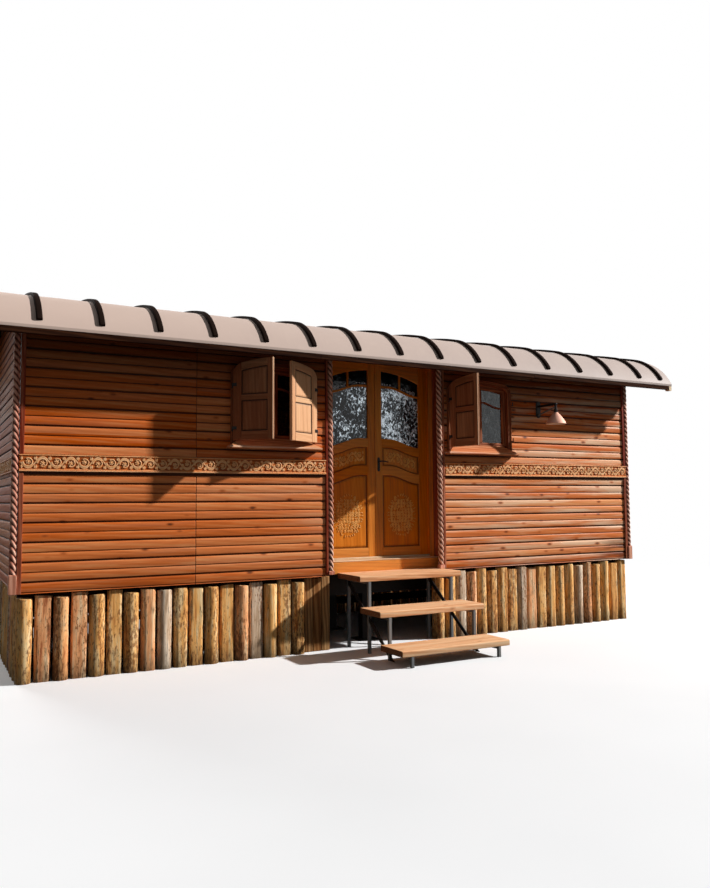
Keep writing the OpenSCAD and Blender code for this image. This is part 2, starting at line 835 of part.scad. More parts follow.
// Curved boards under the roof's ends, with a block at each foot that closes the fascia
module barge_boards() {
    barge_y = half_span - lip_in - seat;
    foot_w = 60;
    color("saddlebrown")
    for (x = [-half_roof, half_roof - barge_t])
        along_x(x, x + barge_t) {
            intersection() {
                polygon(concat(roof_arc(under_roof), reversed(roof_arc(under_roof + 90))));
                translate([-barge_y, 0]) square([2*barge_y, 2*eave_z]);
            }
            for (s = [-1, 1])
                scale([s, 1]) translate([barge_y - foot_w, eave_z - fascia_h - 8])
                    square([foot_w, fascia_h + 8 - under_roof*cos(foot_a)]);
        }
}

// Skirt of upright logs nailed to two rails
function log_r(i) = log_pitch/2 - 8 - 7*abs(sin(i*137));
function log_top(i) = deck_z - 8 - 34*abs(sin(i*83 + 20));

// Planks and then logs from x = 0 to x = length, standing out towards -Y. The steps lie
// over the first part of the row, as far as under.
module log_row(length, seed, under = 0, planks = 0) {
    first = planks*plank_w;
    count = floor((length - first)/log_pitch);
    pitch = (length - first)/count;
    rail_y = [log_in + 30, log_in + 30 + rail_t];
    for (i = [0:planks - 1])
        box([i*plank_w + 3, (i + 1)*plank_w - 3], [rail_y[0] - plank_t, rail_y[0] + 1],
            [0, deck_z - 6 - 14*abs(sin(i*97))]);
    for (i = [0:count - 1])
        let (x = first + (i + 0.5)*pitch, r = log_r(i + seed),
             low = x - r < under + 6,
             top = low ? min(log_top(i + seed), tread_z - tread_t - 6) : log_top(i + seed))
            translate([x, log_in, 0]) cylinder(r = r, h = top, $fn = 24);
    box([20, length - 20], rail_y, [120, 210]);
    box([max(20, under + 6), length - 20], rail_y, [deck_z - 90, deck_z - seat]);
}

module skirt_front_left() {
    color("burlywood")
    translate([door_x - gap_left, front_y, 0]) mirror([1, 0, 0])
        log_row(door_x - gap_left + half_l, 3, door_x - gap_left - step_x + tread_w/2, 3);
}

module skirt_front_right() {
    color("burlywood")
    translate([door_x + gap_right, front_y, 0])
        log_row(half_l - door_x - gap_right, 11, step_x + tread_w/2 - door_x - gap_right);
}

module skirt_ends() {
    inner = log_in + 30 + rail_t + 30;
    color("burlywood") {
        translate([half_l, -half_d + inner, 0]) rotate([0, 0, 90]) log_row(body_d - 2*inner, 5);
        translate([-half_l, half_d - inner, 0]) rotate([0, 0, -90]) log_row(body_d - 2*inner, 9);
    }
}

module skirt_back() {
    color("burlywood") translate([half_l, half_d, 0]) rotate([0, 0, 180]) log_row(body_l, 2);
}

// Steps
module step_treads() {
    color("tan")
    for (i = [0:2])
        box([step_x - tread_w/2, step_x + tread_w/2],
            [tread_front - i*tread_going, i == 0 ? tread_back : tread_front - (i - 1)*tread_going - 1],
            [tread_z - i*tread_rise - tread_t, tread_z - i*tread_rise]);
}

// Each side: four legs, a bearer under every tread and one sloping bar
module step_frame() {
    bar = 30;
    flat = 8;
    depth = 46;
    bearer_h = 26;
    inset = 110;
    leg_xs = [max(step_x - tread_w/2 + inset, door_x - gap_left + bar/2 + 5),
              min(step_x + tread_w/2 - inset, door_x + gap_right - bar/2 - 5)];
    leg_y = function(i) tread_front - i*tread_going + bar/2 + 5;
    under = function(i) tread_z - i*tread_rise - tread_t - seat;
    back_y = tread_back - bar;
    foot_y = leg_y(1) - 90;
    color("dimgray")
    for (x = leg_xs) {
        box([x - bar/2, x + bar/2], [back_y - bar/2, back_y + bar/2], [0, under(0)]);
        for (i = [0:2]) {
            box([x - bar/2, x + bar/2], [leg_y(i) - bar/2, leg_y(i) + bar/2], [0, under(i)]);
            box([x - bar/2, x + bar/2], [leg_y(i), i == 0 ? back_y : leg_y(i - 1)],
                [under(i) - bearer_h, under(i)]);
        }
        along_x(x - flat/2, x + flat/2)
            polygon([[foot_y, 0], [foot_y + depth, 0], [back_y, under(0) - depth], [back_y, under(0)]]);
    }
}

support_posts();
chassis_beams();
floor_deck();
front_wall_left();
front_wall_right();
recess_cheeks();
recess_header();
door_lintel();
back_wall();
end_wall_left();
end_wall_right();
corner_posts();
recess_trims();
recess_columns();
corner_columns();
frieze_boards();
door_jambs();
door_head();
threshold();
door_leaf_left();
door_glass_left();
door_leaf_right();
door_glass_right();
door_handle();
door_hinge_pins();
window_frames();
window_casements();
window_glass();
window_sills();
shutter_left_outer();
shutter_left_inner();
shutter_right_inner();
shutter_pintles();
lamp_bracket();
lamp_shade();
roof_boards();
roof_sheet();
roof_ribs();
fascia_boards();
barge_boards();
skirt_front_left();
skirt_front_right();
skirt_ends();
skirt_back();
step_treads();
step_frame();
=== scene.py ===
"""Looks of a living hut on a timber deck: boarded walls, carved doors and band, twisted columns,
arched windows with shutters, a bowed metal roof, a skirt of logs and timber steps."""

import math
import random

import bmesh
import bpy
from mathutils import Matrix, Vector


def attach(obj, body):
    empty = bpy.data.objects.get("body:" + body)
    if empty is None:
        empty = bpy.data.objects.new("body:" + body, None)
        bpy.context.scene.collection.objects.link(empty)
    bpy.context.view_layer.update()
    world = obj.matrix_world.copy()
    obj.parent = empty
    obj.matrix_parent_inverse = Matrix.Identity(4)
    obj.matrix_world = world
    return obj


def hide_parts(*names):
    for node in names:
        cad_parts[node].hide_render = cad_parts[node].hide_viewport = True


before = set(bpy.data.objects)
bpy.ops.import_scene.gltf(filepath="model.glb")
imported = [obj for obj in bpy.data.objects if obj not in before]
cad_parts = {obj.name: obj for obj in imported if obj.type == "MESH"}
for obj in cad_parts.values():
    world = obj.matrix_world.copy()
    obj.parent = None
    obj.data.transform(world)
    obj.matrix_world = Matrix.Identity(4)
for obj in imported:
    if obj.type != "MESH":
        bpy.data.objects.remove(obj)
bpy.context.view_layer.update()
rng = random.Random(11)

# Body, in metres: the origin is on the ground under its middle, X runs along the front
HALF_L, HALF_D, WALL_T = 3.45, 1.2, 0.09
DECK_Z, FLOOR_Z = 0.72, 0.85

# Roof arc: a flat crown between two shoulders
EAVE_Z, HALF_SPAN, HALF_ROOF = 2.85, 1.58, 3.885
SHOULDER_R, CROWN_A, FOOT_A = 0.66, 14.5, 62.0
SHEET_T, BOARDS_T = 0.004, 0.024
UNDER_ROOF = SHEET_T + BOARDS_T + 0.0003
RIB_W, RIB_H, RIB_PITCH, RIB_LAST = 0.048, 0.026, 0.48, 3.72

# Doorway
DOOR_X, RECESS_W, LEAF_Y, LEAF_Z = 0.04, 1.42, -0.95, 0.858
RECESS_X0, RECESS_X1 = DOOR_X - RECESS_W/2, DOOR_X + RECESS_W/2
LEAF_W, LEAF_H, LEAF_T, LEAF_GAP = 0.6565, 2.057, 0.045, 0.0025
MEET_STILE, HINGE_STILE, JAMB_W = 0.08, 0.106, 0.046
PANEL_U0, PANEL_U1 = MEET_STILE + 0.012, LEAF_W - HINGE_STILE
JAMB_Y0, JAMB_Y1, HEAD_Z, HEADER_Z = -0.977, -0.905, 2.92, 2.93
GLASS_BAR_Z, RAIL_DROP, HEAD_RAIL, ARCH_R, REGION_STEPS = 1.802, 0.091, 0.085, 1.38, 18

# Windows and shutters
WIN_XS, WIN_Z, WIN_W, WIN_H, WIN_ARCH, WIN_R = (-1.22, 1.22), 2.0, 0.86, 0.77, 0.15, 0.12
WIN_FACE, CASEMENT_W, CASEMENT_FOOT, CASEMENT_T = 0.05, 0.056, 0.03, 0.04
PANE_IN, PANE_FOOT = WIN_FACE + CASEMENT_W, WIN_FACE + CASEMENT_FOOT
SILL_HALF, SILL_HIP = 0.469, 0.147
SHUTTER_Y, SHUTTER_W, SHUTTER_T, SHUTTER_IN = -1.259, 0.4175, 0.028, 0.012

# Band, columns, lamp
FRIEZE_Z, FRIEZE_H, FRIEZE_T, LEDGE_OUT = 1.72, 0.13, 0.02, 0.034
COLUMN_R, STRANDS, TWIST_LEAD, PLINTH, COLUMN_IN = 0.029, 3, 0.174, 0.06, 0.005
LAMP_X, LAMP_Z, LAMP_OUT = 2.075, 2.478, 0.29

# Skirt and steps
LOG_PITCH, LOG_IN = 0.14, 0.07
GAP_LEFT, GAP_RIGHT = 0.63, 0.58
STEP_X, TREAD_W, TREAD_T, TREAD_Z, TREAD_RISE = 0.124, 1.18, 0.054, 0.734, 0.291
TREAD_FRONT, TREAD_GOING, TREAD_BACK = -1.514, 0.373, -1.054

TOUCH = 0.0003


def sin(a):
    return math.sin(math.radians(a))


def cos(a):
    return math.cos(math.radians(a))


def between(a, b, steps):
    """Evenly spaced values from a to b, both included."""
    return [a + (b - a)*i/steps for i in range(steps + 1)]


def slices(a, b, count):
    """The stretches that a range is cut into."""
    cuts = between(a, b, count)
    return list(zip(cuts, cuts[1:]))


def fixed(value):
    return lambda _: value


def capsule(x, low, high, radius, steps):
    """Upright outline with round ends about x."""
    upper = [(x + radius*cos(t), high + radius*sin(t)) for t in between(0.0, 180.0, steps)]
    return upper + [(x + radius*cos(t), low + radius*sin(t)) for t in between(180.0, 360.0, steps)]


# Meshes

class Shape:
    """The faces of one piece, gathered board by board. A board's seed moves its grain,
    shade darkens it towards its grooves, and core is a point's place from its own axis."""

    def __init__(self):
        self.verts, self.faces, self.slots = [], [], []
        self.seeds, self.shades, self.cores = [], [], []

    def loft(self, loops, closed=False, slots=None, slot=0, seed=None, shade=0.0, core=None):
        """Skin over loops of as many points each. slots gives a material for each side of a loop."""
        n, m, base = len(loops[0]), len(loops), len(self.verts)
        for i in range(m if closed else m - 1):
            k = (i + 1) % m
            for j in range(n):
                j1 = (j + 1) % n
                self.faces.append([base + i*n + j, base + i*n + j1, base + k*n + j1, base + k*n + j])
                self.slots.append(slots[j] if slots else slot)
        if not closed:
            self.faces += [[base + j for j in range(n)[::-1]], [base + (m - 1)*n + j for j in range(n)]]
            self.slots += [slot, slot]
        self.verts += [tuple(p) for loop in loops for p in loop]
        self.seeds += [rng.random() if seed is None else seed]*(n*m)
        self.shades += shade if isinstance(shade, list) else [shade]*(n*m)
        self.cores += core or [(0.0, 0.0, 0.0)]*(n*m)

    def lathe(self, centre, line, around=24, axis=2, **kw):
        """Turned form: line gives (radius, distance along the axis)."""
        def point(r, h, i):
            p = [r*cos(360*i/around), r*sin(360*i/around)]
            p.insert(axis, h)
            return tuple(c + q for c, q in zip(centre, p))
        self.loft([[point(r, h, i) for i in range(around)] for r, h in line], **kw)

    def eye(self, x, y, z, height, **kw):
        """Steel tube round a hinge's pin."""
        section = ((0.0051, 0.0), (0.009, 0.0), (0.009, height), (0.0051, height))
        self.loft([[(x + r*cos(15*i), y + r*sin(15*i), z + h) for i in range(24)] for r, h in section],
                  closed=True, **kw)

    def plank(self, lo, hi, axis=0, ease=0.003, **kw):
        """Board along an axis, with eased edges."""
        b, c = [i for i in range(3) if i != axis]
        e = min(ease, 0.4*(hi[b] - lo[b]), 0.4*(hi[c] - lo[c]))

        def ring(along, inset):
            p0, p1, q0, q1 = lo[b] + inset, hi[b] - inset, lo[c] + inset, hi[c] - inset
            loop = [[p0 + e, q0], [p1 - e, q0], [p1, q0 + e], [p1, q1 - e],
                    [p1 - e, q1], [p0 + e, q1], [p0, q1 - e], [p0, q0 + e]]
            for point in loop:
                point.insert(axis, along)
            return loop
        self.loft([ring(lo[axis], e*0.6), ring(lo[axis] + e, 0.0),
                   ring(hi[axis] - e, 0.0), ring(hi[axis], e*0.6)], **kw)

    def bar(self, x, y, z, **kw):
        """Board between two places on each axis, in any order."""
        self.plank(*zip(sorted(x), sorted(y), sorted(z)), **kw)


def piece(name, shape, looks, nodes="", body="root", place=None, crease=38.0):
    """Makes the shape an object that rides on a body and stands for CAD nodes."""
    mesh = bpy.data.meshes.new(name)
    mesh.from_pydata(shape.verts, [], shape.faces)
    mesh.polygons.foreach_set("material_index", shape.slots)
    for label, values in (("seed", shape.seeds), ("shade", shape.shades)):
        mesh.attributes.new(label, "FLOAT", "POINT").data.foreach_set("value", values)
    core = mesh.attributes.new("core", "FLOAT_VECTOR", "POINT")
    core.data.foreach_set("vector", [x for c in shape.cores for x in c])
    bm = bmesh.new()
    bm.from_mesh(mesh)
    bmesh.ops.recalc_face_normals(bm, faces=bm.faces)
    bm.to_mesh(mesh)
    bm.free()
    mesh.shade_smooth()
    mesh.set_sharp_from_angle(angle=math.radians(crease))
    for look in looks.split():
        mesh.materials.append(M[look])
    made = place_object(name, mesh)
    made.modifiers.new("normals", "WEIGHTED_NORMAL").keep_sharp = True
    if place:
        made.matrix_world = place
    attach(made, body)
    if nodes:
        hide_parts(*nodes.split())


def place_object(name, data):
    made = bpy.data.objects.new(name, data)
    bpy.context.scene.collection.objects.link(made)
    return made


# Materials

M = {}


def tint(code):
    """Linear colour of a six-digit display colour."""
    parts = [int(code[i:i + 2], 16)/255 for i in (0, 2, 4)]
    return tuple(p/12.92 if p <= 0.04045 else ((p + 0.055)/1.055)**2.4 for p in parts) + (1.0,)


class Wire:
    """What comes out of a node, so that a sum of values reads as one."""

    def __init__(self, look, socket):
        self.look, self.socket = look, socket

    def math(self, operation, other=0.0):
        return self.look.node("Math", {"operation": operation}, self, other)

    def __add__(self, other):
        return self.math("ADD", other)

    def __sub__(self, other):
        return self.math("SUBTRACT", other)

    def __mul__(self, other):
        return self.math("MULTIPLY", other)

    def span(self, low, high, to_low=0.0, to_high=1.0):
        """The value moved from one range to another and held inside it."""
        return self.look.node("MapRange", None, self, low, high, to_low, to_high)

    def ramp(self, *stops):
        """Colour by stops of (place, colour)."""
        made = self.look.node("ValToRGB", None, self)
        elements = made.socket.node.color_ramp.elements
        while len(elements) < len(stops):
            elements.new(0.5)
        for element, (place, colour) in zip(elements, stops):
            element.position = place
            element.color = tint(colour) if isinstance(colour, str) else colour
        return made


class Nodes:
    """Node tree of a material or world, whose nodes are made one after another."""

    def __init__(self, owner):
        owner.use_nodes = True
        self.tree = owner.node_tree
        self.tree.nodes.clear()

    def end(self, kind, wire):
        self.put(self.tree.nodes.new("ShaderNodeOutput" + kind).inputs["Surface"], wire)

    def node(self, kind, props=None, *values, out=0, **named):
        """Makes a node, fills its inputs by place and by name, and gives one of its outputs."""
        made = self.tree.nodes.new("ShaderNode" + kind)
        for key, value in (props or {}).items():
            setattr(made, key, value)
        for key, value in enumerate(values):
            self.put(made.inputs[key], value)
        for key, value in named.items():
            self.put(made.inputs[key.replace("_", " ")], value)
        return Wire(self, made.outputs[out])

    def put(self, socket, value):
        if isinstance(value, Wire):
            self.tree.links.new(value.socket, socket)
        else:
            socket.default_value = tint(value) if isinstance(value, str) else value


class Look(Nodes):
    """A material round one shader."""

    def __init__(self, name):
        self.material = bpy.data.materials.new(name)
        super().__init__(self.material)
        self.shader = self.tree.nodes.new("ShaderNodeBsdfPrincipled")
        self.end("Material", Wire(self, self.shader.outputs["BSDF"]))
        M[name] = self.material

    def vector(self, operation, *values, out=0):
        return self.node("VectorMath", {"operation": operation}, *values, out=out)

    def mix(self, factor, a, b):
        made = self.node("Mix", {"data_type": "RGBA"}, factor, out=2)
        self.put(made.socket.node.inputs[6], a)
        self.put(made.socket.node.inputs[7], b)
        return made

    def attribute(self, label, out="Fac"):
        return self.node("Attribute", {"attribute_name": label}, out=out)

    def noise(self, vector, scale, detail=3.0, roughness=0.55, distortion=0.0):
        return self.node("TexNoise", Vector=vector, Scale=scale, Detail=detail, Roughness=roughness,
                         Distortion=distortion, out="Fac")

    def place(self):
        return self.node("TexCoord", out="Object")

    def axes(self):
        """The three parts of a point's place."""
        return [Wire(self, part) for part in self.node("SeparateXYZ", None, self.place()).socket.node.outputs]

    def grain_place(self, grain, stretch):
        """Place turned so that X runs along the grain and shortened by stretch, and moved by
        the board's own seed."""
        parts = dict(zip("xyz", self.axes()))
        along, across, depth = (parts[letter] for letter in {"x": "xyz", "y": "yxz", "z": "zxy"}[grain])
        seed = self.attribute("seed")
        return self.vector("ADD", self.node("CombineXYZ", None, along*stretch, across, depth),
                           self.node("CombineXYZ", None, seed*31.7, seed*17.3, seed*23.9))

    def finish(self, colour, roughness, height=None, strength=0.0, distance=0.0, **constants):
        for label, value in (("Base Color", colour), ("Roughness", roughness)):
            self.put(self.shader.inputs[label], value)
        if height:
            bump = self.node("Bump", Height=height, Strength=strength, Distance=distance)
            self.put(self.shader.inputs["Normal"], bump)
        for key, value in constants.items():
            self.put(self.shader.inputs[key.replace("_", " ")], value)


def wood(name, tones, grain="x", spread=0.28, figure=0.3, knots=0.0, bleach=0.0, vary=0.2, shade_colour="1a0a05",
         rough=(0.42, 0.65), gloss=0.16, pore=0.3, edge=None, dirt_and_eave_shade=False):
    """Sawn wood with streaks, growth lines, pores and knots. It carries painted shade in its grooves
    and, in patches, a painted highlight on the edges that face up, where its shade lies below zero."""
    dark, mid, light = tones.split()
    # The pale tone, edge or else light, serves the pale patches and the painted highlight on edges that face
    # up
    worn = edge or light
    look = Look(f"{name}_{grain}")
    place = look.grain_place(grain, 0.06)
    wander = look.noise(place, 3.0, 2.0)*0.05
    bent = look.vector("ADD", place, look.node("CombineXYZ", Y=wander, Z=wander))
    streaks = look.noise(bent, 14.0, 5.0, 0.6)
    lines = look.node("TexWave", {"bands_direction": "DIAGONAL"}, Vector=bent, Scale=16.0, Distortion=5.5,
                      Detail=3.0, Detail_Scale=1.4, Detail_Roughness=0.6, out="Fac")
    fibre = look.noise(place, 210.0, 2.0, 0.7)
    body = streaks*(1.0 - figure) + lines*figure
    colour = body.ramp((0.5 - spread, dark), (0.5, mid), (0.5 + spread, light))
    colour = look.mix(fibre.span(0.45, 0.75, 0.0, pore), colour, dark)
    tone = (look.attribute("seed")*7.13).math("FRACT")
    colour = look.node("HueSaturation", Hue=tone.span(0.0, 1.0, 0.493, 0.507),
                       Saturation=tone.span(0.0, 1.0, 1.06, 0.95),
                       Value=tone.span(0.0, 1.0, 1.0 - vary, 1.0 + vary), Color=colour)
    if bleach:
        sunny = look.axes()[0].span(-1.5, 2.5, 0.1, 1.0)*bleach
        patches = look.noise(place, 11.0, 4.0, 0.65).span(0.47, 0.61)
        colour = look.mix(patches*sunny, colour, worn)
    if knots:
        spots = look.node("TexVoronoi", Vector=look.grain_place(grain, 0.42), Scale=9.0)
        swirl = spots + look.noise(bent, 30.0)*0.06
        rim = swirl.ramp((0.08, "4a2210"), (0.13, dark), (0.22, mid))
        colour = look.mix(swirl.span(0.13, 0.24, 1.0, 0.0)*knots, colour, rim)
    shade = look.attribute("shade")
    # Painted highlight: where the shade lies below zero the colour goes towards the pale tone, in patches
    colour = look.mix(shade.span(0.0, -1.0)*look.noise(place, 13.0).span(0.42, 0.55, 0.15, 1.0), colour, worn)
    if dirt_and_eave_shade:
        colour = weather(look, colour, place)
    # Painted shade: towards grooves and other marked hollows the colour goes towards the dark shade colour
    colour = look.mix(shade.span(0.0, 1.0).math("POWER", 0.8)*0.92, colour, shade_colour)
    look.finish(colour, streaks.span(0.3, 0.7, *rough), fibre*0.6 - lines*0.5, 0.35, 0.0012,
                Specular_IOR_Level=gloss)


def woods(name, tones, grains, **kw):
    for grain in grains:
        wood(name, tones, grain, **kw)


def weather(look, colour, place):
    """Dark streaks low on the wall's right end, where rain runs in, dirt along its foot, and
    painted shade that darkens the boards towards the eave."""
    x, _, z = look.axes()
    # Painted shade under the eave, darkest next to it
    eave = z.span(2.35, 2.72, 0.0, 0.62)
    corner = x.span(2.75, 3.3)*z.span(1.06, 0.88)
    foot = z.span(0.95, DECK_Z)
    streak = look.noise(place, 26.0, 4.0, 0.6).span(0.45, 0.53)
    colour = look.mix(eave, colour, "43200f")
    colour = look.mix(corner*streak*0.8, colour, "3a1a10")
    return look.mix(foot*streak.span(0.0, 1.0, 0.15, 0.4), colour, "7a3a20")


def log_wood():
    """Peeled logs, ochre, reddish or grey by their seed, with flakes of bark, cracks and a dirty foot."""
    look = Look("log_side")
    place = look.grain_place("z", 0.1)
    streaks = look.noise(place, 24.0, 5.0, 0.65)
    tone = (look.attribute("seed")*5.71).math("FRACT")
    ochre, red, grey = (streaks.ramp(*zip((0.32, 0.48, 0.64), tones.split())) for tones in
                        ("bd7030 ffbc6a ffdea6", "b06034 ffb478 ffd8a8", "8c6a4c d8b592 f8e0c4"))
    colour = look.mix(tone.span(0.6, 0.66), ochre, red)
    colour = look.mix(tone.span(0.86, 0.9), colour, grey)
    flakes = look.noise(look.grain_place("z", 0.35), 62.0, 4.0, 0.7)
    much = look.noise(place, 5.0, 2.0).span(0.38, 0.62, 0.62, 0.47)
    bark = (flakes - much).span(0.012, 0.06)
    colour = look.mix(bark*0.75, colour, "8f4c1a")
    waves = (look.noise(look.grain_place("z", 0.035), 38.0, 3.0) - 0.5).math("ABSOLUTE")
    crack = waves.span(0.004, 0.014, 1.0, 0.0)*streaks.span(0.45, 0.55)
    colour = look.mix(crack*0.85, colour, "24140b")
    soil = look.axes()[2].span(0.0, 0.2, 0.8, 0.0)*flakes.span(0.3, 0.6, 0.5, 1.0)
    colour = look.mix(soil, colour, "43331f")
    colour = look.mix(look.attribute("shade").span(0.0, 1.0, 0.0, 0.8), colour, "4a2a16")
    look.finish(colour, streaks.span(0.3, 0.7, 0.62, 0.88), bark*0.7 + (streaks - crack), 0.7, 0.004,
                Specular_IOR_Level=0.3)


def end_grain():
    """Sawn ends with growth rings round the heart and drying cracks."""
    look = Look("end_grain")
    core = look.attribute("core", "Vector")
    wobble = look.noise(core, 14.0, 2.0)
    rings = ((look.vector("LENGTH", core, out="Value") + wobble*0.012)*1100.0).math("SINE")
    colour = rings.span(-1.0, 1.0).ramp((0.1, "8a5f35"), (0.9, "c79c66"))
    dirt = look.noise(look.place(), 9.0, 4.0, 0.7)
    colour = look.mix(dirt.span(0.45, 0.7, 0.1, 0.75), colour, "5a452f")
    look.finish(colour, 0.8, rings, 0.3, 0.001, Specular_IOR_Level=0.3)


def painted(name, base, worn, rough=(0.42, 0.6), metal=0.0, streak=0.3, speck=0.12, gloss=0.2, lit_left_tone=None):
    """Painted metal with faint run marks, dust and small chips. It may be painted paler towards the left, as
    painted light.
    """
    look = Look(name)
    place = look.place()
    cloud = look.noise(place, 2.2, 5.0, 0.6)
    runs = look.noise(look.vector("MULTIPLY", place, (22.0, 22.0, 1.6)), 1.0, 4.0, 0.6)
    grit = look.noise(place, 160.0, 2.0, 0.7)
    colour = look.mix(cloud.span(0.35, 0.7, 0.0, 0.55), base, worn)
    colour = look.mix(runs.span(0.5, 0.75, 0.0, streak), colour, worn)
    colour = look.mix(grit.span(0.66, 0.74, 0.0, speck), colour, "8a7f74")
    # Painted light: the colour gets paler towards the left
    if lit_left_tone:
        colour = look.mix(look.axes()[0].span(2.5, -3.5, 0.0, 0.75), colour, lit_left_tone)
    look.finish(colour, cloud.span(0.3, 0.7, *rough), grit*0.3 + look.noise(place, 28.0, 3.0), 0.12, 0.002,
                Metallic=metal, Specular_IOR_Level=gloss)


def clear_glass():
    """Panes with a grey cast and a little dust."""
    look = Look("pane")
    dust = look.noise(look.vector("MULTIPLY", look.place(), (1.0, 1.0, 0.4)), 22.0, 4.0, 0.65, 0.5)
    colour = dust.ramp((0.4, (0.12, 0.15, 0.16, 1)), (0.52, (0.3, 0.35, 0.36, 1)),
                       (0.66, (0.62, 0.7, 0.74, 1)))
    look.finish(colour, dust.span(0.45, 0.75, 0.0, 0.05), Transmission_Weight=1.0, IOR=1.5)


def rippled_glass():
    """Old panes with ripples and a mottled pattern of painted reflections, brighter on the right pane and
    dark over their curved bar.
    """
    look = Look("rippled_pane")
    place = look.place()
    specks = look.noise(look.vector("MULTIPLY", place, (1.0, 1.0, 0.7)), 52.0, 3.0, 0.65, 0.6)
    x, _, z = look.axes()
    painted_reflection = specks + (look.noise(place, 4.5, 3.0) - 0.5)*0.45
    # Painted reflection: the right pane brighter, the left one darker
    painted_reflection = painted_reflection + x.span(DOOR_X - 0.06, DOOR_X + 0.06, -0.03, 0.03)
    off = (x - DOOR_X).math("ABSOLUTE")
    over = z - off.span(0.25*LEAF_W, 0.85*LEAF_W, LEAF_Z + 1.8, LEAF_Z + 1.71)
    painted_reflection = painted_reflection - over.span(0.0, 0.02, 0.0, 0.3)
    colour = painted_reflection.ramp((0.47, (0.01, 0.014, 0.016, 1)), (0.53, (0.12, 0.15, 0.18, 1)),
                       (0.6, (0.8, 0.9, 0.97, 1)))
    ripples = look.noise(place, 22.0, 2.0, 0.5, 0.6)
    # The brightest specks are metallic, so that they mirror the white world as a painted reflection
    look.finish(colour, painted_reflection.span(0.45, 0.6, 0.03, 0.3), ripples, 0.6, 0.006,
                Metallic=painted_reflection.span(0.5, 0.6, 0.0, 0.75), Transmission_Weight=0.35, IOR=1.4)


def bulb_glass():
    look = Look("bulb_glass")
    tone = look.noise(look.place(), 30.0, 2.0)
    look.finish(tone.ramp((0.3, "e9e4d6"), (0.7, "f4f1e8")), 0.25, Coat_Weight=0.4)


def looks():
    """Every material; a wood is named by its grain's direction too."""
    boards = dict(spread=0.34, figure=0.14, knots=0.85, vary=0.12, pore=0.25, gloss=0.12)
    # Painted light: the boards along the front and back are a lighter copy, and those on the ends a darker
    # copy, of one cladding
    wood("cladding", "ac5322 e17738 f3a364", "x", bleach=0.65, edge="fbdcb8", dirt_and_eave_shade=True, **boards)
    wood("cladding", "84401c ac5c2c cc8350", "y", edge="e2b88e", **boards)
    woods("trim", "572315 93452c cd8260", "xz", figure=0.15, gloss=0.1)
    woods("door", "a15717 dc8028 f3a13c", "xz", spread=0.4, figure=0.12, vary=0.05, pore=0.15,
          rough=(0.35, 0.55))
    # The darker shutter wood and the paler one for the shutter by the door are copies of one wood: painted
    # shade and painted light
    woods("shutter", "7a4527 a16441 c88d64", "xz", spread=0.36, figure=0.1, vary=0.08, gloss=0.1,
          edge="f3cca5")
    woods("shutter_painted_sunlit", "b67d54 e4ac7e f3c99b", "xz", spread=0.36, figure=0.1, vary=0.06)
    woods("window", "5c2c17 884527 b36c43", "xz", vary=0.1, gloss=0.1)
    # Near-black: partly the roof timbers' dark stain, partly painted shade for the soffit and fascia under
    # the eave
    woods("roof", "21110b 361f13 513220", "xy", knots=0.5, vary=0.06, rough=(0.75, 0.9), gloss=0.03)
    woods("floor", "6b3d1e a46a39 d2985d", "xy", knots=0.6)
    wood("tread", "c78355 f0b281 f3cea4", knots=0.6, bleach=0.7, vary=0.06, shade_colour="4a2412", rough=(0.6, 0.85),
         gloss=0.1)
    wood("plank", "6e4729 a37143 d1a16c", "z", vary=0.15, gloss=0.1)
    # A darker copy of the cladding wood: painted shade that evens out the extra light on the sill's upward
    # slope
    wood("sill", "a1512c d6804e f3b684", vary=0.08, edge="fbe0c4")
    wood("column", "8e4730 da8e73 f3b599", "z", vary=0.05, shade_colour="100403", edge="f3ccb3", gloss=0.1)
    wood("ground", "8a4320 c46c38 e58e50", vary=0.05, gloss=0.1)
    wood("relief", "ea9856 fab67a fbcb9c", spread=0.36, vary=0.05, shade_colour="4c1c0a", edge="f8c998")
    # Lighter than the door's own wood: a painted highlight on the raised carving
    wood("door_relief", "c37326 f3a349 f3bb6a", "z", spread=0.4, vary=0.05, shade_colour="341504", edge="ffd48c")
    wood("pale", "b68e67 e7c39a f3ddbe", vary=0.05, shade_colour="3a2a1c")
    log_wood()
    end_grain()
    painted("roof_paint", "b2a199", "c1b0a5", rough=(0.5, 0.68), streak=0.35, speck=0.2, lit_left_tone="e4c7b6")
    painted("rib_paint", "1c120e", "2e211b", rough=(0.75, 0.9), speck=0.06, gloss=0.02)
    painted("dark_steel", "1a1614", "332b26", rough=(0.4, 0.6), metal=0.2)
    painted("grey_steel", "6c6f71", "908e8a", rough=(0.5, 0.7), metal=0.2, streak=0.5)
    painted("copper_shade", "f0b095", "f3c0ab", rough=(0.5, 0.65), metal=0.1)
    painted("shade_inside", "cfc6ba", "e2dcd2")
    painted("frosted_glass", "dfe4e4", "f2f4f3", rough=(0.5, 0.7))
    clear_glass()
    rippled_glass()
    bulb_glass()


# Outlines

